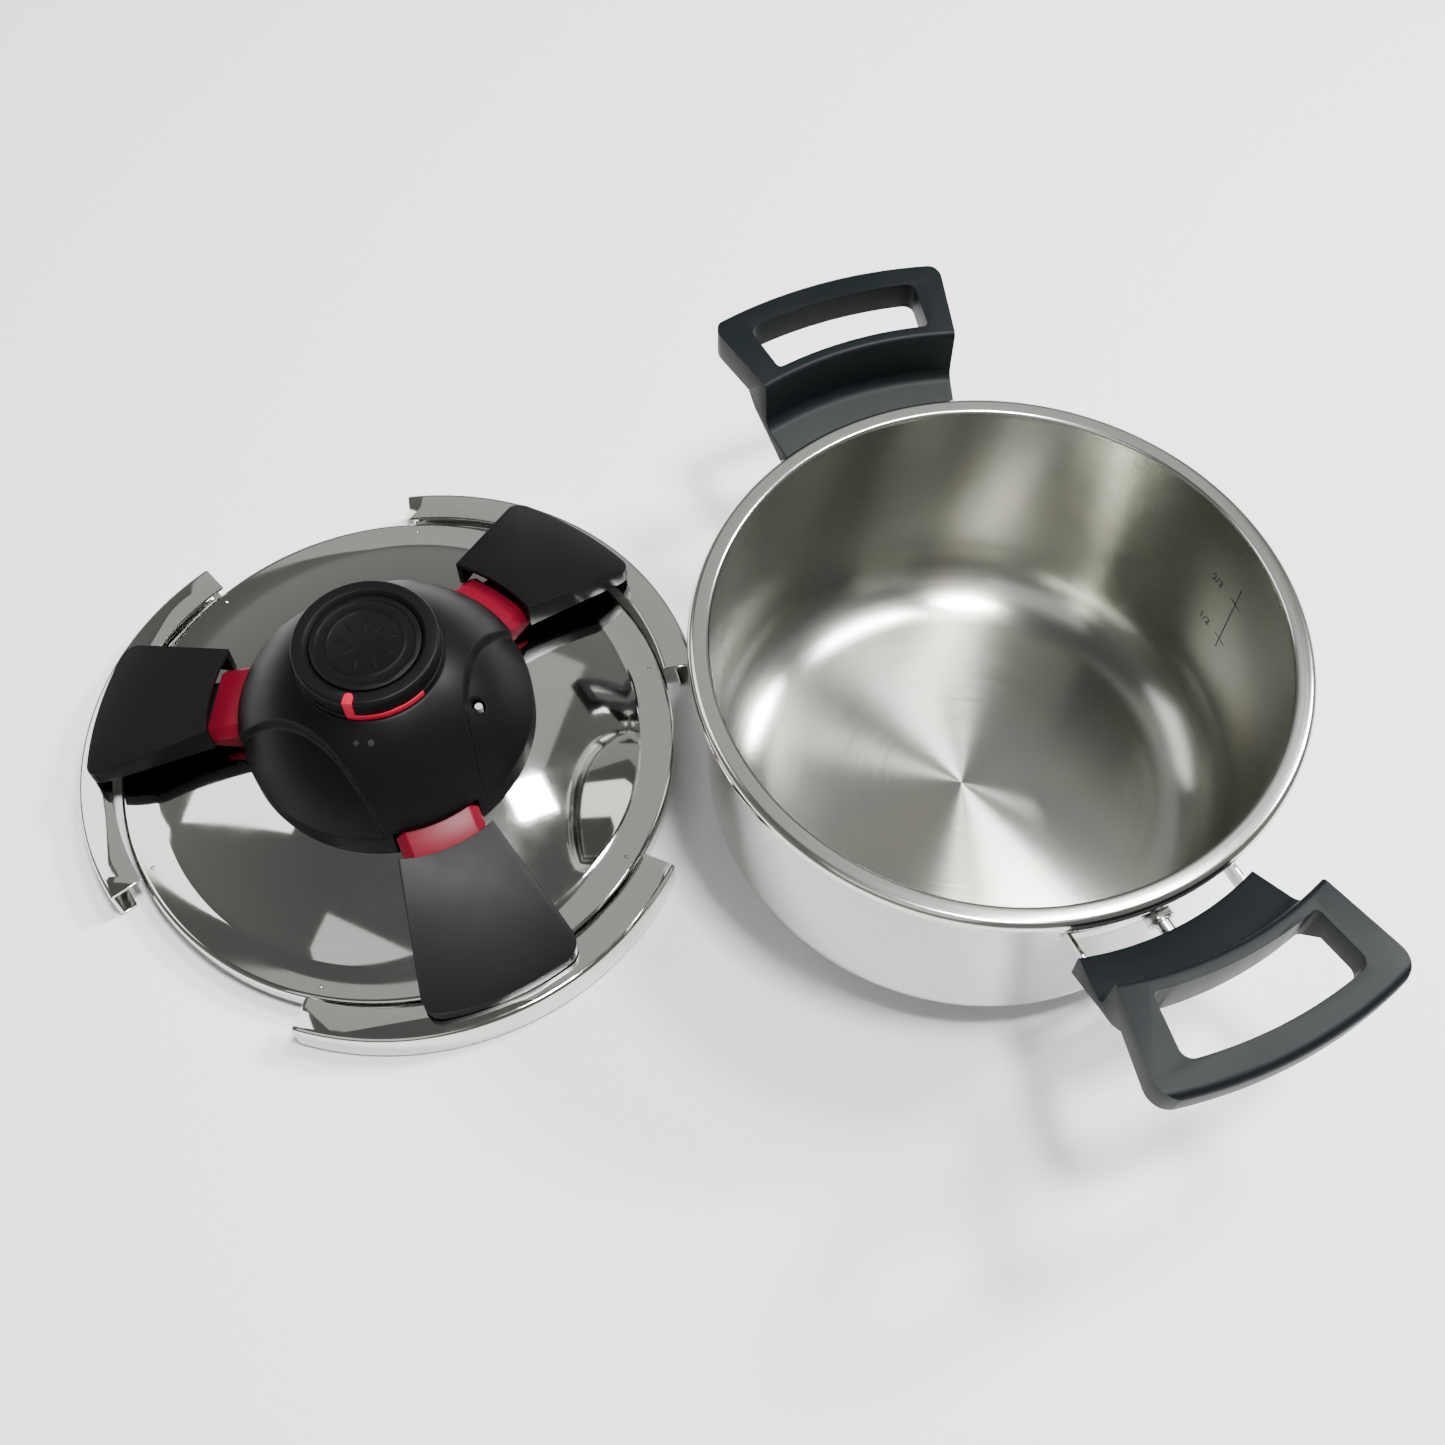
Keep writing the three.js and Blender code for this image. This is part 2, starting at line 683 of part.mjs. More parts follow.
// Each spiral slot draws its pin inwards by the jaw travel over the knob's turn.
function spiralSlot(start) {
  const steps = 10;
  const half = pinR + slide;
  const centre = (share) => polar(pinReach - jawTravel * share, start - knobTurn * share);
  const heading = (share) => {
    const [x0, y0] = centre(share - 0.01);
    const [x1, y1] = centre(share + 0.01);
    return Math.atan2(y1 - y0, x1 - x0) / DEG;
  };
  const beside = (share, turn) => {
    const [x, y] = centre(share);
    const [dx, dy] = polar(half, heading(share) + turn);
    return [x + dx, y + dy];
  };
  const shares = Array.from({ length: steps + 1 }, (_, i) => i / steps);
  const outline = [
    ...shares.map((share) => beside(share, -90)),
    ...[-45, 0, 45].map((turn) => beside(1, turn)),
    ...shares.toReversed().map((share) => beside(share, 90)),
    ...[135, 180, 225].map((turn) => beside(0, turn)),
  ];
  return raised(outline, discZ - 1, discZ + discThickness + 1);
}

function camDisc() {
  const disc = turned([[spindleR + gap, discZ], [discR, discZ], [discR, discZ + discThickness],
    [spindleR + gap, discZ + discThickness]]);
  return without(disc, ...arms.map(([, degrees]) => spiralSlot(degrees)));
}

function buildKnob(lid) {
  part(lid, 'knob', knobBody(), finishes.matteBlack());
  part(lid, 'knob_cap', knobCap(), finishes.matteBlack());
  part(lid, 'pointer_ring', pointerRing(), finishes.red());
  part(lid, 'knob_screw', knobScrew(), finishes.plated());
  part(lid, 'spindle', spindle(), finishes.plated());
  part(lid, 'cam_disc', camDisc(), finishes.plated());
  part(lid, 'spindle_washer', spindleWasher(), finishes.plated());
  part(lid, 'spindle_nut', spindleNut(), finishes.plated());
}

// ---------------------------------------------------------------- jaws

// A steel channel bent round a third of the lid, drawn in its closed place.
function jaw() {
  const channel = turned([
    [jawR - jawLip, 0], [jawR - 1, 0], [jawR, 1], [jawR, jawHeight - 1], [jawR - 1, jawHeight],
    [jawR - jawFlange, jawHeight], [jawR - jawFlange, jawHeight - jawSheet],
    [jawR - jawSheet, jawHeight - jawSheet], [jawR - jawSheet, jawSheet], [jawR - jawLip, jawSheet],
  ], 72);
  const reach = 2 * jawR;
  const a = jawHalfAngle * DEG;
  const wedge = raised([[0, 0], [reach * Math.cos(a), -reach * Math.sin(a)], [reach, -reach * Math.sin(a)],
    [reach, reach * Math.sin(a)], [reach * Math.cos(a), reach * Math.sin(a)]], -far, far);
  return without(channel.intersect(wedge), ...rivetPlaces.map(rivetHole));
}

const rivetHole = (y) => rod(rivetR + gap, jawSheet + 1, jawHeight + 10, rivetX, y, 10);

const lowBarZ = domeZ(hubR - jawTravel) + 1.2;
const footZ = jawHeight + gap;

const carrierUnderZ = (x) => lowBarZ + ((footZ - lowBarZ) * (x - hubR)) / (domeR - hubR);

function carrierTopZ(x) {
  const share = (x - hubR) / (domeR - hubR);
  return carrierUnderZ(x) + carrierThickness + (footThickness - carrierThickness) * share;
}

// The bar that joins a jaw to its cam pin: flat in the hub, then down along the dome.
function carrier() {
  const t = carrierThickness;
  const dipX = hubR - jawTravel;
  const side = [
    [9, barZ], [dipX - 4, barZ], [dipX, lowBarZ], [hubR, lowBarZ], [domeR, footZ],
    [jawR, footZ], [jawR, footZ + footThickness], [domeR, footZ + footThickness], [hubR, lowBarZ + t],
    [dipX + t * 0.6, lowBarZ + t], [dipX - 4 + t * 0.6, barZ + t], [9, barZ + t],
  ];
  const half = carrierWidth / 2;
  const bar = carried(side, half + 3).intersect(rod(coverOuterR - coverWall - gap, 0, far, 0, 0, 72));
  const trim = (y0, y1) => block(0, dipX - 2, y0, y1, 0, far);
  const headZ = carrierUnderZ(coverScrewX) + 0.2;
  return without(
    bar, trim(half, 2 * half), trim(-2 * half, -half),
    rod(pinR + gap, 0, far, pinReach - jawTravel),
    ...rivetPlaces.map(rivetHole),
    rod(coverScrewR + gap, 0, far, coverScrewX),
    rod(coverScrewR * 2 + gap, 0, headZ + 1 + gap, coverScrewX),
  );
}

const roofZ = (x) => coverTopZ - coverSlope * (x - mouthR);

// Lower edge of a cover's sides, down to just above the jaw.
function skirtZ(x) {
  const mouthZ = coverTopZ - coverMouthSide;
  return mouthZ + ((jawHeight + gap - mouthZ) * (x - mouthR)) / (coverOuterR - mouthR);
}

const coverFlank = (x) => coverMouthHalf
  + ((x - mouthR) * (coverOuterHalf - coverMouthHalf)) / (coverOuterR - mouthR);

// Hull of a cover, closed: a sloping roof with bevelled flanks, wider towards the jaw.
function coverHull(inset) {
  const x0 = mouthR - 12;
  const x1 = coverOuterR + 16;
  const half = (x) => coverFlank(x) - inset;
  return hull([x0, x1].flatMap((x) => [-1, 1].flatMap((s) => [
    [x, s * half(x), roofZ(x) - inset - coverBevel],
    [x, s * (half(x) - coverBevel), roofZ(x) - inset],
    [x, s * half(x), skirtZ(x) - (inset ? 20 : 0)],
  ])));
}

// Plan of a cover, closed: straight flanks, a round outer edge and rounded outer corners.
function coverPlan() {
  const slope = coverFlank(1) - coverFlank(0);
  const shift = coverFlank(0) - coverCornerR * Math.hypot(1, slope);
  const reach = coverOuterR - coverCornerR;
  const half = slope * shift;
  const square = 1 + slope ** 2;
  const cx = (Math.sqrt(half ** 2 - square * (shift ** 2 - reach ** 2)) - half) / square;
  const cy = slope * cx + shift;
  const facing = Math.atan2(cy, cx);
  const flankEnd = Math.PI / 2 + Math.atan(slope);
  const shape = new THREE.Shape();
  shape.moveTo(mouthR / 2, -coverFlank(mouthR / 2));
  shape.absarc(cx, -cy, coverCornerR, -flankEnd, -facing, false);
  shape.absarc(0, 0, coverOuterR, -facing, facing, false);
  shape.absarc(cx, cy, coverCornerR, facing, flankEnd, false);
  shape.lineTo(mouthR / 2, coverFlank(mouthR / 2));
  return shape;
}

function jawCover() {
  const outer = coverHull(0)
    .intersect(raised(coverPlan(), 0, far, 8))
    .subtract(rod(mouthR, 0, far, 0, 0, 72));
  const cavity = coverHull(coverWall).intersect(rod(coverOuterR - coverWall, -far, far, 0, 0, 72));
  const boss = without(
    rod(bossR, bossZ, coverTopZ, coverScrewX).intersect(coverHull(1)),
    rod(coverScrewR + gap, 0, bossZ + 5, coverScrewX),
  );
  return without(outer, cavity).add(boss);
}

const bossZ = carrierTopZ(coverScrewX - bossR) + gap;

function coverScrew() {
  const headZ = carrierUnderZ(coverScrewX) + 0.2;
  return rod(coverScrewR, headZ, bossZ + 4, coverScrewX)
    .add(rod(coverScrewR * 2, headZ, headZ + 1, coverScrewX));
}

function camPin() {
  return rod(pinR, barZ, discZ + discThickness + 1, pinReach - jawTravel, 0, 12);
}

function rivet(y) {
  const head = footZ + footThickness + gap;
  return rod(rivetR, jawHeight - jawSheet - 0.5, head + 0.5, rivetX, y, 10)
    .add(rod(rivetHeadR, head, head + 1.1, rivetX, y, 10));
}

function buildArm(lid, name, degrees) {
  const arm = turnedGroup(lid, degrees);
  const open = turnedGroup(arm, 0, jawTravel, 0);
  part(open, `jaw_${name}`, jaw(), finishes.mirror());
  part(open, `carrier_${name}`, carrier(), finishes.matteBlack());
  part(open, `jaw_cover_${name}`, jawCover(), finishes.matteBlack());
  part(open, `cam_pin_${name}`, camPin(), finishes.plated());
  part(open, `cover_screw_${name}`, coverScrew(), finishes.plated());
  rivetPlaces.forEach((y, i) => part(open, `rivet_${name}${i + 1}`, rivet(y), finishes.plated()));
}

const arms = [['a', 0], ['b', 120], ['c', 240]];

// ---------------------------------------------------------------- the cooker

const cooker = new THREE.Group();
buildPot(cooker);
const lidGroup = turnedGroup(cooker, lidTurn, ...polar(lidReach, lidBearing));
buildLid(lidGroup);
buildKnob(lidGroup);
for (const [name, degrees] of arms) buildArm(lidGroup, name, degrees);

export default cooker;
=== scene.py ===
import math

import bpy
from bpy.props import FloatProperty, FloatVectorProperty, IntProperty, PointerProperty
from mathutils import Matrix, Vector


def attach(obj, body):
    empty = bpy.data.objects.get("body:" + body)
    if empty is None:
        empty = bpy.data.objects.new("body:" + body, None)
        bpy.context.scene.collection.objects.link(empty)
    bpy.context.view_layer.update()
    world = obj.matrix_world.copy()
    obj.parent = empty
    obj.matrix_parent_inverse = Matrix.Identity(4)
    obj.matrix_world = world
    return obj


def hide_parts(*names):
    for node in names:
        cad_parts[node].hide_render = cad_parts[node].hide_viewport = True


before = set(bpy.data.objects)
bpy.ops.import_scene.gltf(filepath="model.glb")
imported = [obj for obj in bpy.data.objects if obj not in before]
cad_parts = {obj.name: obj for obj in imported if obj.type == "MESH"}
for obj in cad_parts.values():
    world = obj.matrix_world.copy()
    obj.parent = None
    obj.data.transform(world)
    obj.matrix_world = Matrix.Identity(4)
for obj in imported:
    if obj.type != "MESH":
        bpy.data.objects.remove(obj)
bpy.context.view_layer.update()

bl_info = {
    "name": "Pressure cooker",
    "version": (1, 0, 0),
    "blender": (4, 5, 0),
    "location": "View3D > Sidebar > Cooker",
    "description": "Builds a stovetop pressure cooker with its lid laid beside the pot",
    "category": "Add Mesh",
}

MM = 0.001
MERGE = 1e-6
ARMS = (("a", 0.0), ("b", 120.0), ("c", 240.0))
SIDES = (("near", 2.3), ("far", 175.7))


# ------------------------------------------------------------------ sizes and colours


def length(name, default, description):
    return FloatProperty(
        name=name, description=description, default=default * MM, unit="LENGTH", subtype="DISTANCE")


def turn(name, default, description):
    return FloatProperty(
        name=name, description=description, default=math.radians(default), unit="ROTATION", subtype="ANGLE")


def colour(name, default, description):
    return FloatVectorProperty(
        name=name, description=description, default=default, size=3, min=0, max=1, subtype="COLOR")


class COOKER_PG_pot(bpy.types.PropertyGroup):
    inner_radius: length("Inner radius", 110, "Inside of the pot's wall")
    wall: length("Wall", 1.2, "Thickness of the steel")
    floor_z: length("Floor height", 6.2, "Top of the floor above the table")
    rim_z: length("Rim height", 123, "Top of the rim above the table")
    corner: length("Corner radius", 26, "Inside radius between floor and wall")
    rim_radius: length("Rim radius", 118.4, "Outer edge of the rolled rim")
    rim_edge: length("Rim edge radius", 3, "Rounding of the rim's outer edge")
    hem: length("Rim hem", 5.5, "Height of the rim's turned-down edge")
    cap_wall: length("Base cap", 0.8, "Thickness of the cap under the base")
    steps: IntProperty(name="Steps", description="Steps round the pot", default=192, min=24)


class COOKER_PG_handle(bpy.types.PropertyGroup):
    inner_radius: length("Inner radius", 123, "Face towards the pot")
    outer_radius: length("Outer radius", 185.5, "Outer edge of the loop")
    inner_half: length("Inner half width", 38.5, "Half width at the pot")
    outer_half: length("Outer half width", 54, "Half width at the outer edge")
    loop_top: length("Loop top", 133, "Top of the loop above the table")
    loop_thickness: length("Loop thickness", 13, "Thickness of the loop")
    block_top: length("Block top", 104, "Top of the block at the pot")
    block_height: length("Block height", 14, "Height of the block at the pot")
    valley_radius: length("Valley radius", 139.5, "Foot of the steep wall")
    slot_inner: length("Slot inner radius", 149.5, "Inner edge of the finger slot")
    slot_outer: length("Slot outer radius", 174, "Outer edge of the finger slot")
    slot_half: length("Slot half width", 38, "Half width of the slot at its outer edge")
    corner: length("Corner radius", 9, "Rounding of the outer corners in plan")
    edge: length("Edge radius", 1.7, "Rounding of the moulded edges")
    bracket_wall: length("Bracket wall", 1.5, "Thickness of the bracket's sheet")
    bracket_height: length("Bracket height", 9, "Height of the bracket")
    bracket_half: length("Bracket half width", 34, "Half width of the bracket")
    bolt_radius: length("Bolt radius", 2.9, "Shank of the handle's bolt")


class COOKER_PG_lid(bpy.types.PropertyGroup):
    axis_x: length("Axis X", -115.6, "Place of the lid's axis")
    axis_y: length("Axis Y", -218.1, "Place of the lid's axis")
    turned: turn("Turn", 1, "Direction of the first jaw arm")
    edge_radius: length("Edge radius", 120.7, "Outer edge of the lid")
    band: length("Band", 13.5, "Width of the flat shoulder band")
    band_z: length("Band height", 15, "Top of the band above the table")
    rise: length("Dome rise", 24.7, "Height of the dome above the band")
    sheet: length("Sheet", 1.2, "Thickness of the steel")
    skirt: length("Skirt", 9, "Height of the turned-down edge")
    bump_radius: length("Bump radius", 1.1, "Radius of the small stops on the band")
    bump_reach: length("Bump reach", 115, "Distance of the stops from the axis")
    bump_angle: turn("Bump angle", 36, "Angle of the stops from a jaw arm")


class COOKER_PG_hub(bpy.types.PropertyGroup):
    radius: length("Radius", 61.5, "Outer radius of the hub")
    wall: length("Wall", 2.6, "Thickness of the moulding")
    bottom_z: length("Bottom", 32.6, "Lower edge of the hub")
    shoulder_z: length("Shoulder", 51, "Top of the hub's upright edge")
    top_z: length("Top", 86, "Top of the hub under the knob")
    top_radius: length("Top radius", 30.5, "Radius of the hub's flat top")
    dish_inset: length("Dish inset", 38, "Nearest point of a dish to the axis")
    dish_edge: length("Dish edge radius", 100, "Plan radius of a dish's inner edge")
    dish_low: length("Dish low edge", 44.5, "Height of the hub's edge at a dish")
    dish_depth: length("Dish depth", 8, "Depth of a dish")
    dish_draft: length("Dish draft", 1.6, "How far the wall of a dish leans outwards")
    voxel: length("Voxel", 0.45, "Size of the cells that the hub is rounded with")
    knob_radius: length("Knob radius", 29.5, "Outer radius of the knob")
    knob_top: length("Knob top", 98, "Top of the knob")
    knob_skirt: length("Knob skirt", 8.2, "Height of the knob's side")
    cap_radius: length("Cap radius", 22.4, "Radius of the knob's round cap")
    cap_sink: length("Cap sink", 1, "Depth of the cap below the knob's edge")
    ring: length("Ring", 3.2, "Thickness of the pointer ring")
    tab_half: length("Pointer half width", 2, "Half width of the pointer")
    pointer: turn("Pointer", -33, "Direction of the pointer from the first arm")
    peep_reach: length("Indicator reach", 44, "Distance of the indicator from the axis")
    peep_angle: turn("Indicator angle", 48, "Direction of the indicator from the first arm")
    peep_radius: length("Indicator radius", 1.6, "Radius of the indicator's pin")
    band_end: turn("Red band end", 28, "Where the red part of the pointer ring ends")
    mark_reach: length("Mark reach", 37.5, "Distance of the printed marks from the axis")


class COOKER_PG_jaw(bpy.types.PropertyGroup):
    travel: length("Travel", 13, "How far the jaws stand open")
    radius: length("Radius", 125.5, "Outer face of a jaw about its own centre")
    half_angle: turn("Half angle", 42, "Half of the arc that a jaw covers")
    sheet: length("Sheet", 1.5, "Thickness of the steel")
    height: length("Height", 17.5, "Height of a jaw")
    flange: length("Flange", 14.5, "Width of the upper flange")
    lip: length("Lip", 7.5, "Width of the lower lip")
    edge: length("Edge radius", 2.2, "Bend between wall and flange")
    sleeve_half: length("Sleeve half width", 17.8, "Half width of the red guide")
    sleeve_wall: length("Sleeve wall", 2.2, "Thickness of the red guide")
    cover_top: length("Cover top", 50, "Top of a cover at its mouth")
    cover_outer_top: length("Cover outer top", 24.5, "Top of a cover at its outer edge")
    cover_mouth_side: length("Cover mouth side", 14, "Height of a cover at its mouth")
    cover_lift: length("Cover lift", 0.3, "Gap between a jaw and its cover")
    sleeve_roof: length("Sleeve roof", 1.2, "Thickness of the red guide's roof")
    cover_wall: length("Cover wall", 2.5, "Thickness of a cover")
    cover_outer: length("Cover outer radius", 119, "Outer edge of a closed cover")
    mouth_half: length("Mouth half width", 21.1, "Half width of a cover at its mouth")
    outer_half: length("Outer half width", 35.5, "Half width of a cover at its outer edge")
    bevel: length("Cover bevel", 4.5, "Width of the bevel along a cover's roof")
    corner: length("Cover corner", 7, "Rounding of a cover's outer corners")


class COOKER_PG_look(bpy.types.PropertyGroup):
    steel: colour("Steel", (0.66, 0.66, 0.63), "Colour of the polished steel")
    brushed: colour("Brushed steel", (0.41, 0.425, 0.39), "Colour of the brushed steel")
    handle: colour("Handle", (0.0038, 0.0056, 0.0062), "Colour of the handles")
    hub: colour("Hub", (0.0030, 0.0033, 0.0037), "Colour of the black mouldings")
    guide: colour("Guides", (0.12, 0.004, 0.013), "Colour of the red guides")
    pointer: colour("Pointer", (0.36, 0.006, 0.026), "Colour of the pointer ring")
    seal: colour("Seal", (0.36, 0.36, 0.35), "Colour of the seal")
    floor: colour("Floor", (0.86, 0.86, 0.86), "Colour of the floor")
    lens: FloatProperty(name="Lens", description="Focal length on a 36 mm sensor", default=40.9)


# ------------------------------------------------------------------ modelling helpers


def edit(mode="VERT"):
    bpy.ops.object.mode_set(mode="EDIT")
    bpy.ops.mesh.select_mode(type=mode)


def leave():
    bpy.ops.object.mode_set(mode="OBJECT")


def only(piece):
    """Select one object and make it active."""
    bpy.ops.object.select_all(action="DESELECT")
    piece.select_set(True)
    bpy.context.view_layer.objects.active = piece
    return piece


def named(name):
    piece = bpy.context.object
    piece.name = name
    piece.data.name = name
    return piece


def settle(piece):
    """Put an object's place, turn and scale into its mesh."""
    only(piece)
    bpy.ops.object.transform_apply(location=True, rotation=True, scale=True)
    return piece


def shade(piece, degrees=32):
    only(piece)
    bpy.ops.object.shade_smooth_by_angle(angle=math.radians(degrees))
    return piece


def chain(name, points, close=True):
    """A row of edges through the points, drawn by extruding one vertex; closed back to the first."""
    bpy.ops.object.select_all(action="DESELECT")
    bpy.ops.mesh.primitive_plane_add(size=0.001, location=(0, 0, 0))
    piece = named(name)
    edit()
    bpy.ops.mesh.select_all(action="SELECT")
    bpy.ops.mesh.merge(type="CENTER")
    bpy.ops.transform.translate(value=points[0])
    here = Vector(points[0])
    rest = list(points[1:]) + ([points[0]] if close else [])
    for point in rest:
        step = Vector(point) - here
        bpy.ops.mesh.extrude_vertices_move(TRANSFORM_OT_translate={"value": step})
        here = Vector(point)
    bpy.ops.mesh.select_all(action="SELECT")
    bpy.ops.mesh.remove_doubles(threshold=MERGE)
    return piece


def outward():
    bpy.ops.mesh.select_all(action="SELECT")
    bpy.ops.mesh.remove_doubles(threshold=MERGE)
    bpy.ops.mesh.normals_make_consistent(inside=False)
    leave()


def turned(name, outline, steps=128):
    """A closed outline of (r, z) turned right round the Z axis."""
    on_axis = outline[0][0] == 0 and outline[-1][0] == 0
    piece = chain(name, [(r, 0, z) for r, z in outline], close=not on_axis)
    bpy.ops.mesh.spin(steps=steps, angle=math.tau, center=(0, 0, 0), axis=(0, 0, 1))
    outward()
    return piece


def arc_piece(name, outline, half, steps=48):
    """A closed outline of (r, z) turned about the Z axis through twice the half angle, about +X."""
    piece = chain(name, [(r, 0, z) for r, z in outline])
    bpy.ops.mesh.edge_face_add()
    bpy.ops.mesh.spin(steps=steps, angle=2 * half, center=(0, 0, 0), axis=(0, 0, 1))
    outward()
    verts = piece.data.vertices
    lean = math.atan2(sum(v.co.y for v in verts), sum(v.co.x for v in verts))
    piece.rotation_euler.z = -lean
    return settle(piece)


def slab(name, outline, z0, z1):
    """A flat outline of (x, y) raised from z0 to z1."""
    piece = chain(name, [(x, y, z0) for x, y in outline])
    bpy.ops.mesh.edge_face_add()
    bpy.ops.mesh.extrude_region_move(TRANSFORM_OT_translate={"value": (0, 0, z1 - z0)})
    outward()
    return piece


def rod(name, radius, z0, z1, x=0.0, y=0.0, segments=48):
    bpy.ops.object.select_all(action="DESELECT")
    bpy.ops.mesh.primitive_cylinder_add(
        vertices=segments, radius=radius, depth=z1 - z0, location=(x, y, (z0 + z1) / 2))
    return settle(named(name))


def block(name, low, high):
    bpy.ops.object.select_all(action="DESELECT")
    size = Vector(high) - Vector(low)
    bpy.ops.mesh.primitive_cube_add(size=1, location=(Vector(low) + Vector(high)) / 2, scale=size)
    return settle(named(name))


def modify(piece, kind, **settings):
    """Add a modifier, set it and apply it."""
    only(piece)
    modifier = piece.modifiers.new(kind.title(), kind)
    for key, value in settings.items():
        setattr(modifier, key, value)
    bpy.ops.object.modifier_apply(modifier=modifier.name)
    return piece


def combine(piece, other, operation="DIFFERENCE"):
    modify(piece, "BOOLEAN", operation=operation, object=other, solver="EXACT")
    bpy.data.objects.remove(other)
    return piece


def soften(piece, width, segments=3, degrees=32):
    """Round every edge sharper than an angle."""
    only(piece)
    edit()
    bpy.ops.mesh.select_all(action="SELECT")
    bpy.ops.mesh.dissolve_limited(angle_limit=math.radians(0.4))
    leave()
    modify(
        piece, "BEVEL", width=width, segments=segments, limit_method="ANGLE",
        angle_limit=math.radians(degrees), harden_normals=False, miter_outer="MITER_ARC")
    return shade(piece, 40)


def trim(piece, place, facing):
    """Cut off everything on the facing side of a plane, and close the cut."""
    only(piece)
    edit("FACE")
    bpy.ops.mesh.select_all(action="SELECT")
    bpy.ops.mesh.bisect(plane_co=place, plane_no=facing, use_fill=True, clear_outer=True)
    leave()
    return piece


def rounded_by_cells(piece, cell, passes, kept):
    """Rebuild a solid from small even cells, relax it like a moulding and keep a share of the faces."""
    only(piece)
    piece.data.remesh_voxel_size = cell
    piece.data.remesh_voxel_adaptivity = 0
    bpy.ops.object.voxel_remesh()
    modify(piece, "SMOOTH", factor=0.5, iterations=passes)
    modify(piece, "DECIMATE", ratio=kept)
    only(piece)
    bpy.ops.object.shade_smooth()
    return piece


def joined(pieces, name):
    bpy.ops.object.select_all(action="DESELECT")
    for piece in pieces:
        piece.select_set(True)
    bpy.context.view_layer.objects.active = pieces[0]
    bpy.ops.object.join()
    return named(name)


def copied(piece, name):
    twin = piece.copy()
    twin.data = piece.data.copy()
    twin.name = name
    twin.data.name = name
    bpy.context.collection.objects.link(twin)
    return twin


def turned_to(piece, angle, x=0.0, y=0.0):
    piece.rotation_euler.z = angle
    piece.location = (x, y, 0)
    return settle(piece)


def on_lid(piece, angle=0.0, outwards=0.0):
    """Put a piece drawn about the origin on the lid, turned to an arm and moved out along it."""
    lid = bpy.context.scene.cooker_lid
    whole = lid.turned + angle
    return turned_to(
        piece, whole, lid.axis_x + outwards * math.cos(whole), lid.axis_y + outwards * math.sin(whole))


def arc(r, z, radius, start, stop, steps):
    """Points of an arc about (r, z), in degrees, ends included."""
    angles = [math.radians(start + (stop - start) * i / steps) for i in range(steps + 1)]
    return [(r + radius * math.cos(a), z + radius * math.sin(a)) for a in angles]


def curve(a, b, c, steps):
    """Points of a quadratic curve, ends included."""
    shares = [i / steps for i in range(steps + 1)]
    return [tuple((1 - t) ** 2 * p + 2 * t * (1 - t) * q + t * t * s for p, q, s in zip(a, b, c)) for t in shares]


def shown(piece, body, slot, *nodes, materials=()):
    """Dress a finished piece, let it ride on its body and stand for its CAD nodes."""
    for name in materials:
        piece.data.materials.append(bpy.data.materials[name])
    if nodes:
        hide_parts(*nodes)
    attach(piece, body)
    return piece


# ------------------------------------------------------------------ materials


def new_group(name, inputs, outputs):
    group = bpy.data.node_groups.new(name, "ShaderNodeTree")
    for label, kind, default in inputs:
        socket = group.interface.new_socket(name=label, in_out="INPUT", socket_type=kind)
        if default is not None:
            socket.default_value = default
    for label, kind in outputs:
        group.interface.new_socket(name=label, in_out="OUTPUT", socket_type=kind)
    return group, group.nodes.new("NodeGroupInput"), group.nodes.new("NodeGroupOutput")


def add(tree, kind, links=None, **settings):
    """A node with its settings, its inputs given as values or as the sockets that feed them."""
    node = tree.nodes.new(kind)
    for key, value in settings.items():
        setattr(node, key, value)
    for key, value in (links or {}).items():
        if isinstance(value, bpy.types.NodeSocket):
            tree.links.new(value, node.inputs[key])
        else:
            node.inputs[key].default_value = value
    return node


def math_node(tree, operation, a, b=0.0):
    return add(tree, "ShaderNodeMath", {0: a, 1: b}, operation=operation).outputs[0]


def ramp(tree, source, low, high, to_low=0.0, to_high=1.0):
    return add(tree, "ShaderNodeMapRange", {
        "Value": source, "From Min": low, "From Max": high, "To Min": to_low, "To Max": to_high,
    }).outputs[0]


def noise(tree, vector, scale, detail=2.0, rough=0.5):
    return add(tree, "ShaderNodeTexNoise", {
        "Vector": vector, "Scale": scale, "Detail": detail, "Roughness": rough}).outputs["Fac"]


def blend_colour(tree, share, a, b, mode="MIX"):
    node = tree.nodes.new("ShaderNodeMix")
    node.data_type = "RGBA"
    node.blend_type = mode
    sockets = {0: share, 6: a, 7: b}
    for index, value in sockets.items():
        if isinstance(value, bpy.types.NodeSocket):
            tree.links.new(value, node.inputs[index])
        else:
            node.inputs[index].default_value = value
    return node.outputs[2]


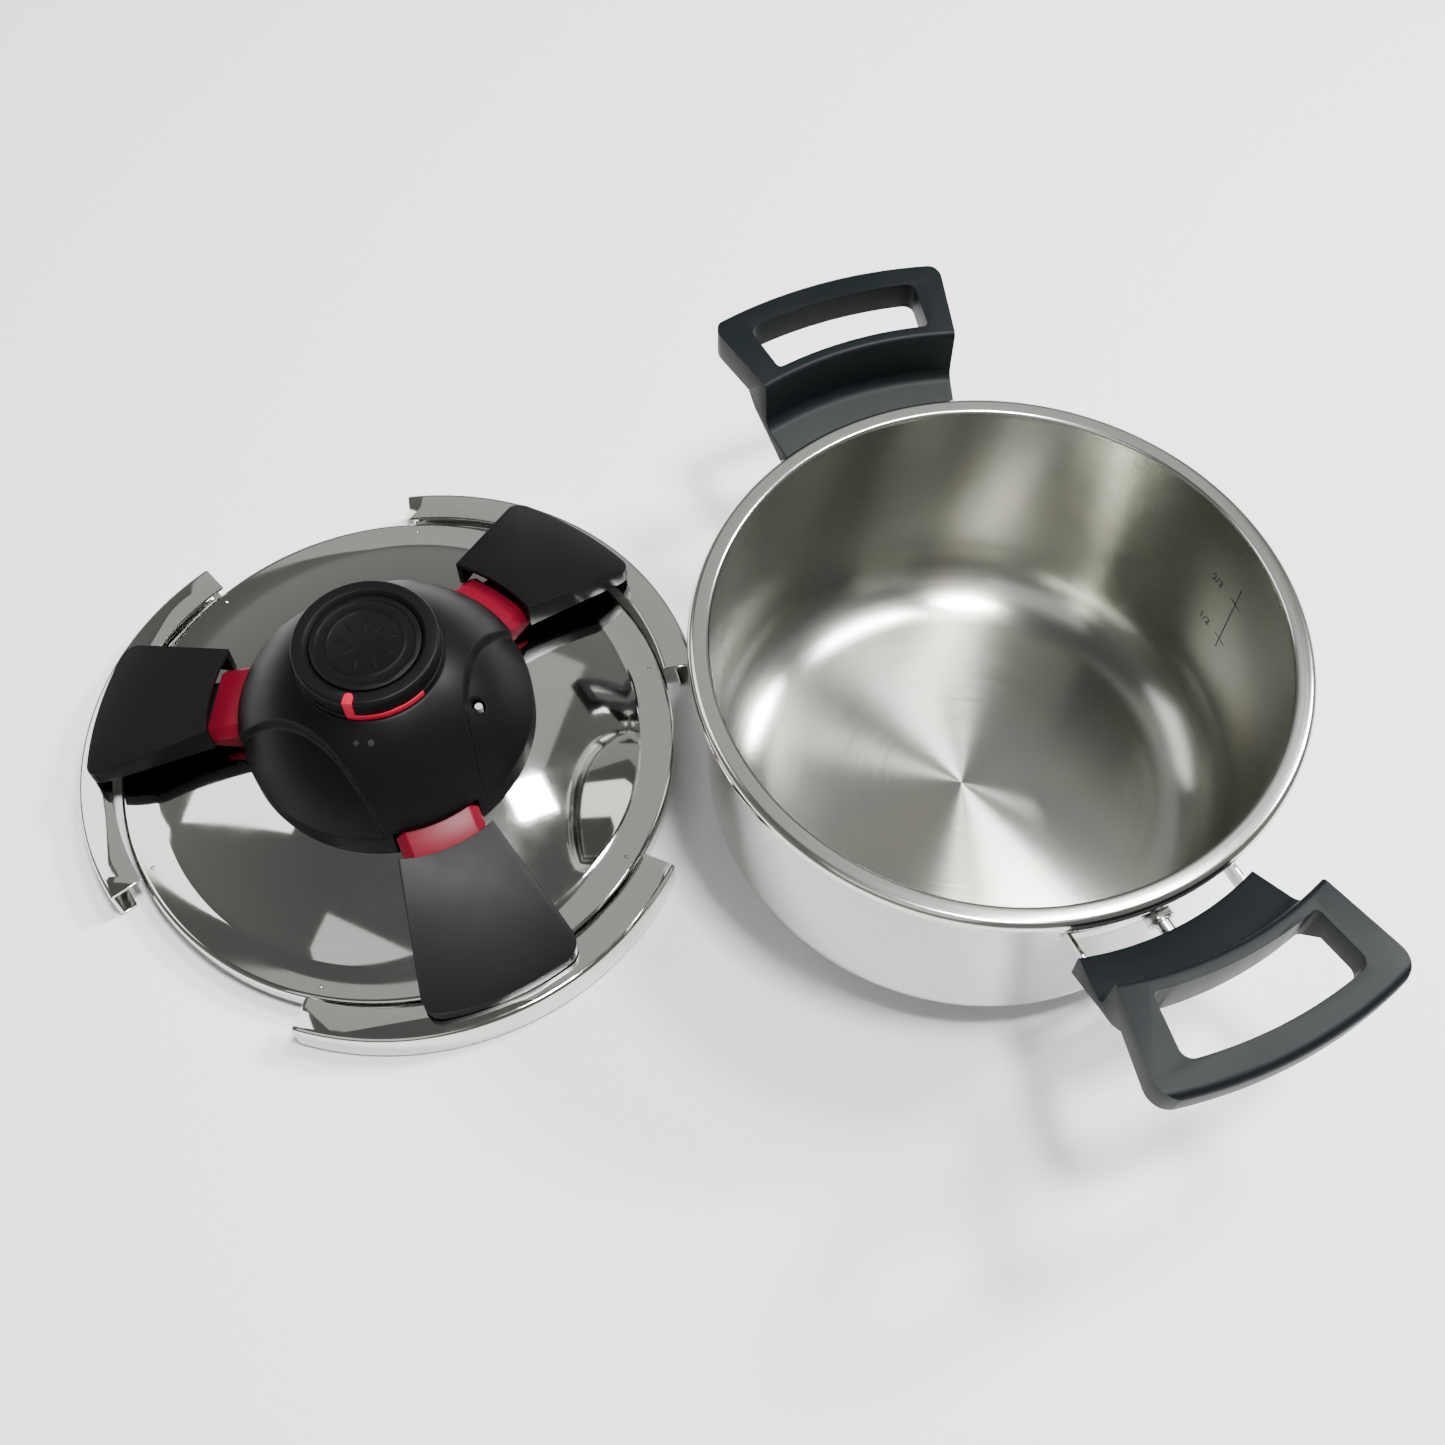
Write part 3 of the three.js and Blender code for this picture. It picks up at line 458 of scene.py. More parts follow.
def make_moulding_group():
    """Fine moulded grain, faint handling marks and faint lighter patches for the plastics."""
    group, given, out = new_group(
        "moulded grain",
        [("Vector", "NodeSocketVector", None), ("Grain", "NodeSocketFloat", 900.0),
         ("Depth", "NodeSocketFloat", 0.25), ("Base", "NodeSocketColor", (0.01, 0.01, 0.01, 1)),
         ("Haze", "NodeSocketFloat", 0.25), ("Smooth", "NodeSocketFloat", 0.42),
         ("Rough", "NodeSocketFloat", 0.55)],
        [("Color", "NodeSocketColor"), ("Roughness", "NodeSocketFloat"), ("Height", "NodeSocketFloat")])
    vector = given.outputs["Vector"]
    fine = add(group, "ShaderNodeTexVoronoi", {"Vector": vector, "Scale": given.outputs["Grain"]}).outputs["Distance"]
    broad = noise(group, vector, 14.0, 4.0, 0.6)
    smear = noise(group, vector, 60.0, 3.0, 0.65)
    height = math_node(group, "MULTIPLY", fine, given.outputs["Depth"])
    smoothness = ramp(group, broad, 0.35, 0.7)
    mixed = math_node(group, "MULTIPLY", smoothness, ramp(group, smear, 0.3, 0.75, 0.5, 1.0))
    roughness = add(group, "ShaderNodeMapRange", {
        "Value": mixed, "From Min": 0.0, "From Max": 1.0,
        "To Min": given.outputs["Smooth"], "To Max": given.outputs["Rough"]}).outputs[0]
    hazed = math_node(group, "MULTIPLY", smoothness, given.outputs["Haze"])
    colour_out = blend_colour(group, hazed, given.outputs["Base"], (0.03, 0.032, 0.034, 1))
    group.links.new(colour_out, out.inputs["Color"])
    group.links.new(roughness, out.inputs["Roughness"])
    group.links.new(height, out.inputs["Height"])
    return group


def make_brushing_group():
    """Lines of a brushed finish that run round the Z axis, on floors and walls alike."""
    group, given, out = new_group(
        "circular brushing",
        [("Vector", "NodeSocketVector", None), ("Fineness", "NodeSocketFloat", 1.0),
         ("Tint", "NodeSocketFloat", 0.15)],
        [("Height", "NodeSocketFloat"), ("Shade", "NodeSocketFloat"), ("Heat", "NodeSocketFloat")])
    split = add(group, "ShaderNodeSeparateXYZ", {0: given.outputs["Vector"]}).outputs
    reach = math_node(group, "SQRT", math_node(
        group, "ADD", math_node(group, "MULTIPLY", split[0], split[0]),
        math_node(group, "MULTIPLY", split[1], split[1])))
    angle = math_node(group, "ARCTAN2", split[1], split[0])
    across = math_node(group, "MULTIPLY", math_node(group, "ADD", reach, split[2]), given.outputs["Fineness"])
    cells = add(group, "ShaderNodeCombineXYZ", {
        0: math_node(group, "MULTIPLY", across, 2400.0),
        1: math_node(group, "MULTIPLY", math_node(group, "SINE", angle), 2.6),
        2: math_node(group, "MULTIPLY", math_node(group, "COSINE", angle), 2.6)}).outputs[0]
    lines = noise(group, cells, 1.0, 3.0, 0.7)
    wide = add(group, "ShaderNodeCombineXYZ", {
        0: math_node(group, "MULTIPLY", across, 260.0),
        1: math_node(group, "SINE", angle), 2: math_node(group, "COSINE", angle)}).outputs[0]
    bands = noise(group, wide, 1.0, 2.0, 0.6)
    group.links.new(lines, out.inputs["Height"])
    shade_value = math_node(group, "ADD", math_node(group, "MULTIPLY", lines, 0.75),
                            math_node(group, "MULTIPLY", bands, 0.25))
    group.links.new(shade_value, out.inputs["Shade"])
    cloud = noise(group, given.outputs["Vector"], 16.0, 3.0, 0.6)
    heat = math_node(group, "MULTIPLY", ramp(group, cloud, 0.42, 0.68), given.outputs["Tint"])
    group.links.new(heat, out.inputs["Heat"])
    return group


def make_handling_group():
    """Faint smears and fine scratches of a handled polished sheet."""
    group, given, out = new_group(
        "handling marks",
        [("Vector", "NodeSocketVector", None), ("Clean", "NodeSocketFloat", 0.04),
         ("Smeared", "NodeSocketFloat", 0.12)],
        [("Roughness", "NodeSocketFloat"), ("Height", "NodeSocketFloat")])
    vector = given.outputs["Vector"]
    smear = noise(group, vector, 28.0, 5.0, 0.62)
    stretched = add(group, "ShaderNodeMapping", {"Vector": vector, "Rotation": (0, 0, 0.6), "Scale": (40, 1800, 60)})
    scratch = noise(group, stretched.outputs[0], 1.0, 2.0, 0.4)
    roughness = add(group, "ShaderNodeMapRange", {
        "Value": smear, "From Min": 0.45, "From Max": 0.75,
        "To Min": given.outputs["Clean"], "To Max": given.outputs["Smeared"]}).outputs[0]
    group.links.new(roughness, out.inputs["Roughness"])
    group.links.new(scratch, out.inputs["Height"])
    return group


def new_material(name):
    material = bpy.data.materials.new(name)
    material.use_nodes = True
    tree = material.node_tree
    shader = tree.nodes["Principled BSDF"]
    place = tree.nodes.new("ShaderNodeTexCoord").outputs["Object"]
    return material, tree, shader, place


def bump(tree, shader, height, strength, distance):
    node = add(tree, "ShaderNodeBump", {"Height": height, "Strength": strength, "Distance": distance})
    tree.links.new(node.outputs[0], shader.inputs["Normal"])


def about(tree, place, x, y):
    """Object coordinates measured from an upright axis."""
    return add(tree, "ShaderNodeMapping", {"Vector": place, "Location": (-x, -y, 0)}).outputs[0]


def moulding(name, base, smooth, rough, depth=0.25, haze=0.12, grain=900.0, sheen=0.09):
    material, tree, shader, place = new_material(name)
    group = add(tree, "ShaderNodeGroup", node_tree=bpy.data.node_groups["moulded grain"])
    tree.links.new(place, group.inputs["Vector"])
    values = {"Grain": grain, "Depth": depth, "Base": (*base, 1), "Haze": haze, "Smooth": smooth, "Rough": rough}
    for key, value in values.items():
        group.inputs[key].default_value = value
    tree.links.new(group.outputs["Color"], shader.inputs["Base Color"])
    tree.links.new(group.outputs["Roughness"], shader.inputs["Roughness"])
    bump(tree, shader, group.outputs["Height"], 0.25, 0.0002)
    shader.inputs["Specular IOR Level"].default_value = sheen
    return material


def brushed(name, base, x, y, rough, fineness=1.0, tint=0.15, strength=0.12, pull=0.75):
    """Steel brushed round an upright axis at (x, y)."""
    material, tree, shader, place = new_material(name)
    group = add(tree, "ShaderNodeGroup", node_tree=bpy.data.node_groups["circular brushing"])
    tree.links.new(about(tree, place, x, y), group.inputs["Vector"])
    group.inputs["Fineness"].default_value = fineness
    group.inputs["Tint"].default_value = tint
    dark = tuple(0.93 * c for c in base)
    lined = blend_colour(tree, ramp(tree, group.outputs["Shade"], 0.3, 0.7), (*dark, 1), (*base, 1))
    warmed = blend_colour(tree, group.outputs["Heat"], lined, (0.60, 0.50, 0.34, 1))
    tree.links.new(warmed, shader.inputs["Base Color"])
    tree.links.new(ramp(tree, group.outputs["Shade"], 0.3, 0.7, rough - 0.03, rough + 0.03), shader.inputs["Roughness"])
    bump(tree, shader, group.outputs["Height"], strength, 0.0001)
    shader.inputs["Metallic"].default_value = 1.0
    shader.inputs["Anisotropic"].default_value = pull
    shader.inputs["Anisotropic Rotation"].default_value = 0.25
    tangent = add(tree, "ShaderNodeTangent", direction_type="RADIAL", axis="Z")
    tree.links.new(tangent.outputs[0], shader.inputs["Tangent"])
    return material


def polished(name, base, clean, smeared, scratch=0.02):
    material, tree, shader, place = new_material(name)
    group = add(tree, "ShaderNodeGroup", node_tree=bpy.data.node_groups["handling marks"])
    tree.links.new(place, group.inputs["Vector"])
    group.inputs["Clean"].default_value = clean
    group.inputs["Smeared"].default_value = smeared
    tree.links.new(group.outputs["Roughness"], shader.inputs["Roughness"])
    cloud = noise(tree, place, 9.0, 2.0)
    tone = blend_colour(tree, cloud, (*(0.94 * c for c in base), 1), (*base, 1))
    tree.links.new(tone, shader.inputs["Base Color"])
    bump(tree, shader, group.outputs["Height"], scratch, 0.00005)
    shader.inputs["Metallic"].default_value = 1.0
    return material


class COOKER_OT_materials(bpy.types.Operator):
    """Make every finish of the cooker"""

    bl_idname = "cooker.materials"
    bl_label = "Materials"

    def execute(self, context):
        look = context.scene.cooker_look
        lid = context.scene.cooker_lid
        make_moulding_group()
        make_brushing_group()
        make_handling_group()
        brushed("pot inside", look.brushed, 0, 0, 0.2, fineness=1.8, tint=0.2, strength=0.012, pull=0.95)
        brushed("rim top", look.steel, 0, 0, 0.16, tint=0.03, pull=0.5, strength=0.03)
        brushed("base underside", look.brushed, 0, 0, 0.3)
        polished("pot outside", look.steel, 0.035, 0.1)
        polished("lid steel", look.steel, 0.05, 0.1)
        brushed("lid underside", look.brushed, lid.axis_x, lid.axis_y, 0.25)
        polished("jaw steel", look.steel, 0.05, 0.14, 0.05)
        polished("bracket steel", look.steel, 0.06, 0.14, 0.05)
        polished("plated steel", (0.5, 0.5, 0.49), 0.22, 0.38, 0.15)
        polished("aluminium", (0.62, 0.63, 0.64), 0.3, 0.45, 0.2)
        moulding("handle plastic", look.handle, 0.42, 0.54, haze=0.02, grain=1100.0, sheen=0.1)
        moulding("hub plastic", look.hub, 0.36, 0.48, haze=0.02, depth=0.12)
        moulding("cover plastic", look.hub, 0.36, 0.48, haze=0.02, depth=0.12)
        moulding("knob plastic", look.hub, 0.4, 0.52, haze=0.02, depth=0.15)
        moulding("cap plastic", look.hub, 0.36, 0.46, haze=0.02, depth=0.1)
        # Near-black colour for the carriers that sit under the covers.
        moulding("carrier coat", (0.008, 0.008, 0.009), 0.35, 0.5, depth=0.4)
        moulding("inner plastic", (0.008, 0.008, 0.009), 0.5, 0.6)
        moulding("guide plastic", look.guide, 0.28, 0.4, haze=0.0, depth=0.1)
        moulding("pointer plastic", look.pointer, 0.28, 0.4, haze=0.0, depth=0.1)
        moulding("seal rubber", look.seal, 0.5, 0.65, haze=0.1)
        moulding("mark print", (0.02, 0.02, 0.02), 0.45, 0.6, haze=0.0)
        moulding("hub print", (0.02, 0.021, 0.022), 0.4, 0.5, haze=0.0)
        return {"FINISHED"}


# ------------------------------------------------------------------ pot


def pot_outline(pot):
    flat = pot.inner_radius - pot.corner
    outer = pot.inner_radius + pot.wall
    round_r = pot.rim_radius - pot.rim_edge
    top = pot.rim_z
    return [
        (0, pot.floor_z - pot.wall),
        *arc(flat, pot.floor_z + pot.corner, pot.corner + pot.wall, -90, 0, 18),
        (outer, top - pot.wall - 1.6 * MM),
        *arc(outer + 1.6 * MM, top - pot.wall - 1.6 * MM, 1.6 * MM, 180, 90, 5),
        *arc(round_r, top - pot.rim_edge, pot.rim_edge - pot.wall, 90, 0, 6),
        (pot.rim_radius - pot.wall, top - pot.hem),
        *arc(pot.rim_radius - pot.wall / 2, top - pot.hem, pot.wall / 2, 180, 360, 6),
        *arc(round_r, top - pot.rim_edge, pot.rim_edge, 0, 90, 10),
        *arc(pot.inner_radius + 1.8 * MM, top - 1.8 * MM, 1.8 * MM, 90, 180, 7),
        *arc(flat, pot.floor_z + pot.corner, pot.corner, 0, -90, 18),
        (flat * 0.98, pot.floor_z),
        (0, pot.floor_z),
    ]


class COOKER_OT_pot(bpy.types.Operator):
    """Turn the pot with its rolled rim, and the cap under its base"""

    bl_idname = "cooker.pot"
    bl_label = "Pot"

    def execute(self, context):
        pot = context.scene.cooker_pot
        body = turned("pot_body_shell", pot_outline(pot), pot.steps)
        self.dress(body, pot)
        shown(shade(body, 30), "pot", "pot_steel", "pot_body",
              materials=("pot inside", "pot outside", "rim top"))
        cap = turned("base_cap_plate", self.cap_outline(pot), pot.steps)
        shown(shade(cap, 30), "pot", "base_steel", "base_cap", materials=("base underside",))
        self.marks(context, pot)
        return {"FINISHED"}

    @staticmethod
    def cap_outline(pot):
        flat = pot.inner_radius - pot.corner - 2 * MM
        inner = flat + 0.3 * MM
        outer = inner + pot.cap_wall
        top = pot.cap_wall + 3.6 * MM
        return [(0, 0.3 * MM), (flat * 0.3, 0.3 * MM), (flat * 0.31, 0), *arc(outer - 1.6 * MM, 1.6 * MM, 1.6 * MM, -90, 0, 6),
                (outer, top), (inner, top), (inner, pot.cap_wall), (0, pot.cap_wall)]

    @staticmethod
    def dress(body, pot):
        """Brushed inside, brushed rim, polished outside."""
        inside = pot.inner_radius + 0.05 * MM
        for face in body.data.polygons:
            reach = math.hypot(face.center.x, face.center.y)
            up = face.normal.z
            inward = face.normal.x * face.center.x + face.normal.y * face.center.y < 0
            if face.center.z > pot.rim_z - 2.0 * MM and up > 0.3 and reach > pot.inner_radius:
                face.material_index = 2
            elif reach < inside and (up > 0.01 or inward) and face.center.z > pot.floor_z - 0.1 * MM:
                face.material_index = 0
            else:
                face.material_index = 1

    @staticmethod
    def marks(context, pot):
        """Printed level marks on the wall: an upright line, two ticks and two plain fractions."""
        reach = pot.inner_radius - 0.08 * MM
        thick = 0.05 * MM
        bits = []

        def bar(degrees, z, wide, high):
            piece = block("bar", (reach, -wide / 2, z - high / 2), (reach + thick, wide / 2, z + high / 2))
            bits.append(turned_to(piece, math.radians(degrees)))

        bar(85.4, 79 * MM, 0.45 * MM, 41 * MM)
        bar(85.4, 89.5 * MM, 13 * MM, 0.45 * MM)
        bar(85.4, 64.5 * MM, 13 * MM, 0.45 * MM)
        for words, degrees, z in (("2/3", 92.2, 87.6 * MM), ("1/2", 91.4, 62.6 * MM)):
            bpy.ops.object.select_all(action="DESELECT")
            bpy.ops.object.text_add(location=(0, 0, 0))
            text = context.object
            text.data.body = words
            text.data.size = 5.4 * MM
            text.data.align_x = "CENTER"
            text.data.extrude = thick / 2
            bpy.ops.object.convert(target="MESH")
            text = context.object
            stand = Matrix(((0, 0, -1), (-1, 0, 0), (0, 1, 0))).to_4x4()
            angle = math.radians(degrees)
            text.matrix_world = (
                Matrix.Rotation(angle, 4, "Z") @ Matrix.Translation((reach, 0, z)) @ stand)
            bits.append(settle(text))
        shown(joined(bits, "level_marks"), "pot", "pot_steel", materials=("mark print",))


# ------------------------------------------------------------------ handles


class COOKER_OT_handles(bpy.types.Operator):
    """Model one side handle with its bracket and fixings, and copy them to the other side"""

    bl_idname = "cooker.handles"
    bl_label = "Side handles"

    def execute(self, context):
        handle = context.scene.cooker_handle
        pot = context.scene.cooker_pot
        grip = self.grip(handle)
        bracket = self.bracket(handle, pot)
        fixing = self.fixing(handle, pot)
        for side, degrees in SIDES:
            angle = math.radians(degrees)
            for model, name, slot, nodes, material in (
                (grip, "side_grip", "handle_plastic", ("handle_",), "handle plastic"),
                (bracket, "side_bracket", "bracket_steel", ("bracket_",), "bracket steel"),
                (fixing, "side_fixing", "plated_steel", ("bracket_nut_", "handle_bolt_"), "plated steel"),
            ):
                piece = turned_to(copied(model, f"{name}_{side}"), angle)
                shown(piece, "pot", slot, *(node + side for node in nodes), materials=(material,))
        for model in (grip, bracket, fixing):
            bpy.data.objects.remove(model)
        return {"FINISHED"}

    @staticmethod
    def outline(handle):
        top = handle.loop_top
        under = top - handle.loop_thickness
        step = handle.slot_inner + 5 * MM
        inner = handle.inner_radius
        outer = handle.outer_radius
        valley = handle.valley_radius
        return [
            (inner, handle.block_top - handle.block_height),
            (step - 12 * MM, under - 14 * MM),
            (step - 3 * MM, under - 7 * MM),
            (step + 2 * MM, under),
            *arc(outer - 2 * MM, under + 2 * MM, 2 * MM, -90, 0, 5),
            *arc(outer - 3.2 * MM, top - 3.2 * MM, 3.2 * MM, 0, 90, 7),
            *arc(valley + 6.6 * MM, top - 2.2 * MM, 2.2 * MM, 90, 165, 5),
            *arc(valley - 2.2 * MM, handle.block_top + 10.4 * MM, 6 * MM, -10, -80, 10),
            *arc(inner + 1.4 * MM, handle.block_top - 1.0 * MM, 1.4 * MM, 100, 180, 4),
        ]

    @staticmethod
    def plan(half0, half1, r0, r1, corner, steps=9, inner_reach=100 * MM):
        """Outline between two flanks and an outer arc, with rounded outer corners."""
        slope = (half1 - half0) / (r1 - r0)
        shift = half0 - slope * r0 - corner * math.hypot(1, slope)
        reach = r1 - corner
        square = 1 + slope ** 2
        half = slope * shift
        cx = (math.sqrt(half ** 2 - square * (shift ** 2 - reach ** 2)) - half) / square
        cy = slope * cx + shift
        facing = math.degrees(math.atan2(cy, cx))
        flank = 90 + math.degrees(math.atan(slope))
        start = half0 + (inner_reach - r0) * slope
        return [
            (inner_reach, -start),
            *arc(cx, -cy, corner, -flank, -facing, steps),
            *arc(0, 0, r1, -facing, facing, 24)[1:-1],
            *arc(cx, cy, corner, facing, flank, steps),
            (inner_reach, start),
        ]

    def grip(self, handle):
        body = arc_piece("side_grip", self.outline(handle), math.radians(27), 54)
        plan = slab("plan", self.plan(
            handle.inner_half, handle.outer_half, handle.inner_radius, handle.outer_radius, handle.corner),
            60 * MM, 160 * MM)
        combine(body, plan, "INTERSECT")
        slot_shape = self.plan(
            handle.slot_half - 4 * MM, handle.slot_half, handle.slot_inner, handle.slot_outer, 4.5 * MM,
            inner_reach=140 * MM)
        slot = slab("slot", slot_shape, 80 * MM, 160 * MM)
        inner = arc_piece("inner", [
            (handle.slot_inner, 70 * MM), (200 * MM, 70 * MM), (200 * MM, 170 * MM), (handle.slot_inner, 170 * MM)],
            math.radians(20), 40)
        combine(slot, inner, "INTERSECT")
        modify(slot, "BEVEL", width=3.5 * MM, segments=5, limit_method="ANGLE", angle_limit=math.radians(50))
        combine(body, slot)
        return soften(body, handle.edge, 4, 34)

    @staticmethod
    def bracket(handle, pot):
        """A strip welded to the pot, with two wings that enter the handle."""
        middle = handle.block_top - handle.block_height / 2
        z0 = middle - handle.bracket_height / 2
        z1 = middle + handle.bracket_height / 2
        inner = pot.inner_radius + pot.wall + 0.3 * MM
        outer = inner + handle.bracket_wall
        half = math.asin(handle.bracket_half / inner)
        strip = arc_piece("side_bracket", [(inner, z0), (outer, z0), (outer, z1), (inner, z1)], half, 40)
        start = math.sqrt(inner ** 2 - handle.bracket_half ** 2) + 0.2 * MM
        wings = []
        for side in (-1, 1):
            low = side * (handle.bracket_half - 0.6 * MM)
            high = low + side * handle.bracket_wall
            wings.append(block("wing", (start, min(low, high), z0), (handle.inner_radius + 3 * MM, max(low, high), z1)))
        for wing in wings:
            combine(strip, wing, "UNION")
        return soften(strip, 0.35 * MM, 2, 40)

    @staticmethod
    def fixing(handle, pot):
        middle = handle.block_top - handle.block_height / 2
        start = pot.inner_radius + pot.wall + 0.6 * MM + handle.bracket_wall
        nut = rod("nut", 6 * MM, 0, 4 * MM, segments=6)
        collar = rod("collar", 4.2 * MM, 4 * MM, 4.6 * MM, segments=32)
        shank = rod("shank", handle.bolt_radius, -0.2 * MM, handle.inner_radius - start + 6 * MM, segments=32)
        piece = combine(combine(nut, collar, "UNION"), shank, "UNION")
        piece.rotation_euler.y = math.pi / 2
        piece.location = (start, 0, middle)
        return soften(settle(piece), 0.4 * MM, 2, 40)


# ------------------------------------------------------------------ lid


def dome_height(lid, r):
    radius = lid.edge_radius - lid.band
    return lid.band_z + lid.rise * (1 - (r / radius) ** 2)


class COOKER_OT_lid(bpy.types.Operator):
    """Turn the polished lid with its shoulder band and small stops, and its seal"""

    bl_idname = "cooker.lid"
    bl_label = "Lid"

    def execute(self, context):
        lid = context.scene.cooker_lid
        shell = turned("lid_dome", self.outline(lid), 192)
        for face in shell.data.polygons:
            reach = math.hypot(face.center.x, face.center.y)
            if face.normal.z < -0.2 and reach < lid.edge_radius - lid.sheet:
                face.material_index = 1
        shown(on_lid(shade(shell, 30)), "lid", "lid_steel", "lid_shell", materials=("lid steel", "lid underside"))
        shown(on_lid(self.stops(lid)), "lid", "lid_steel", materials=("lid steel",))
        seal = turned("lid_seal", self.seal_outline(lid), 144)
        shown(on_lid(shade(seal, 40)), "lid", "seal_rubber", "gasket", materials=("seal rubber",))
        return {"FINISHED"}

    @staticmethod
    def outline(lid):
        hole = 7.0 * MM
        foot = lid.edge_radius - lid.band
        under = lid.band_z - lid.sheet
        edge = lid.edge_radius
        low = lid.band_z - lid.skirt
        steps = 26
        places = [hole + (foot - 2.5 * MM - hole) * i / steps for i in range(steps + 1)]
        inner = [(r, dome_height(lid, r) - lid.sheet) for r in places]
        outer = [(r, dome_height(lid, r)) for r in reversed(places)]
        fillet = 2.5 * MM
        meet = curve((edge - 2.6 * MM, lid.band_z), (foot + 0.6 * MM, lid.band_z),
                     (foot - fillet, dome_height(lid, foot - fillet)), 8)
        return [
            *inner,
            (foot, under),
            (edge - lid.sheet - 1 * MM, under),
            (edge - lid.sheet, under - 1 * MM),
            (edge - lid.sheet, low + 0.2 * MM),
            *arc(edge - lid.sheet / 2, low + lid.sheet / 2, lid.sheet / 2, 200, 360, 6),
            *arc(edge - 2.4 * MM, lid.band_z - 2.4 * MM, 2.4 * MM, 0, 90, 8),
            *meet[:-1],
            *outer,
        ]

    @staticmethod
    def seal_outline(lid):
        top = lid.band_z - lid.sheet - 0.3 * MM
        outer = lid.edge_radius - lid.sheet - 0.3 * MM
        return [
            (outer - 11 * MM, top - 1.6 * MM), (outer - 9.2 * MM, top - 4.4 * MM), (outer - 8.3 * MM, top - 4.6 * MM),
            (outer - 7.5 * MM, top - 4.4 * MM), (outer - 8 * MM, top - 2 * MM), (outer - 0.8 * MM, top - 2 * MM),
            (outer - 0.2 * MM, top - 1.7 * MM), (outer, top - 1.2 * MM), (outer, top - 0.8 * MM),
            (outer - 0.3 * MM, top - 0.2 * MM), (outer - 0.8 * MM, top), (outer - 10 * MM, top),
            (outer - 10.8 * MM, top - 0.5 * MM)]

    @staticmethod
    def stops(lid):
        bits = []
        for _, degrees in ARMS:
            for side in (-1, 1):
                angle = math.radians(degrees) + side * lid.bump_angle
                bpy.ops.object.select_all(action="DESELECT")
                bpy.ops.mesh.primitive_uv_sphere_add(
                    segments=20, ring_count=10, radius=lid.bump_radius,
                    location=(lid.bump_reach * math.cos(angle), lid.bump_reach * math.sin(angle),
                              lid.band_z - 0.5 * MM))
                stop = settle(named("stop"))
                trim(stop, (0, 0, lid.band_z - 0.2 * MM), (0, 0, -1))
                bits.append(stop)
        return shade(joined(bits, "lid_stops"), 50)


# ------------------------------------------------------------------ hub


def hub_high(hub):
    return curve(
        (hub.top_radius, hub.top_z), (hub.top_radius + 17.5 * MM, hub.top_z - 10 * MM),
        (hub.radius, hub.shoulder_z), 30)[::-1]


def hub_low(hub, inset=0.0):
    return curve(
        (hub.dish_inset - 4 * MM - inset, hub.top_z - hub.dish_depth - 1 * MM - inset),
        (hub.dish_inset + 12 * MM - inset, hub.top_z - 18 * MM - inset),
        (hub.radius - inset, hub.dish_low - inset / 2), 30)[::-1]


class COOKER_OT_hub(bpy.types.Operator):
    """Model the domed hub with its three dishes, doors and indicator hole"""

    bl_idname = "cooker.hub"
    bl_label = "Hub"

    def execute(self, context):
        hub = context.scene.cooker_hub
        jaw = context.scene.cooker_jaw
        shell = self.solid("hub_shell", hub, hub_high(hub), 0)
        low = self.solid("low", hub, hub_low(hub), 0)
        low_part = combine(copied(shell, "within"), low, "INTERSECT")
        for degrees in (60, 180, 300):
            angle = math.radians(degrees)
            reach = hub.dish_inset + hub.dish_edge
            low_z = hub.top_z - 20 * MM
            lean = hub.dish_draft
            dish = turned("dish", [(0, 20 * MM), (hub.dish_edge - lean, 20 * MM), (hub.dish_edge - lean, low_z),
                                   (hub.dish_edge, hub.top_z - 6 * MM), (hub.dish_edge + lean, hub.top_z + 6 * MM),
                                   (0, hub.top_z + 6 * MM)], 300)
            combine(shell, turned_to(dish, 0, reach * math.cos(angle), reach * math.sin(angle)))
        combine(shell, low_part, "UNION")
        hollow = self.solid("hollow", hub, hub_low(hub, hub.wall), hub.wall)
        combine(shell, hollow)
        combine(shell, rod("bore", 10 * MM, 0.05, 0.1))
        for _, degrees in ARMS:
            door = block("door", (hub.radius - 9 * MM, -jaw.sleeve_half - 0.3 * MM, 0.02),
                         (hub.radius + 5 * MM, jaw.sleeve_half + 0.3 * MM, 0.0484))
            combine(shell, turned_to(door, math.radians(degrees)))
        peep = rod("peep", hub.peep_radius + 1.2 * MM, 0.05, 0.1,
                   hub.peep_reach * math.cos(hub.peep_angle), hub.peep_reach * math.sin(hub.peep_angle))
        combine(shell, peep)
        rounded_by_cells(shell, hub.voxel, 6, 0.4)
        shown(on_lid(shell), "lid", "hub_plastic", "hub_cover", materials=("hub plastic",))
        shown(on_lid(self.marks(hub)), "lid", "hub_plastic", materials=("hub print",))
        return {"FINISHED"}

    @staticmethod
    def marks(hub):
        """A plain square and a plain dot, printed where the knob's pointer stops."""
        bits = []
        surface = hub_high(hub)
        near = min(range(1, len(surface)), key=lambda i: abs(surface[i][0] - hub.mark_reach))
        (r0, z0), (r1, z1) = surface[near], surface[near - 1]
        lean = math.atan2(z0 - z1, r1 - r0)
        for degrees, corners in ((-29, 4), (-20, 32)):
            bpy.ops.object.select_all(action="DESELECT")
            bpy.ops.mesh.primitive_cylinder_add(vertices=corners, radius=1.3 * MM, depth=0.12 * MM)
            mark = settle(named("mark"))
            mark.rotation_euler = (0, lean, 0)
            mark.location = (r0, 0, z0 + 0.02 * MM)
            bits.append(turned_to(settle(mark), math.radians(degrees)))
        return joined(bits, "hub_marks")

    @staticmethod
    def solid(name, hub, surface, inset):
        bottom = hub.bottom_z - (5 * MM if inset else 0)
        return turned(name, [(0, bottom), (hub.radius - inset, bottom), *surface, (0, surface[-1][1])], 160)


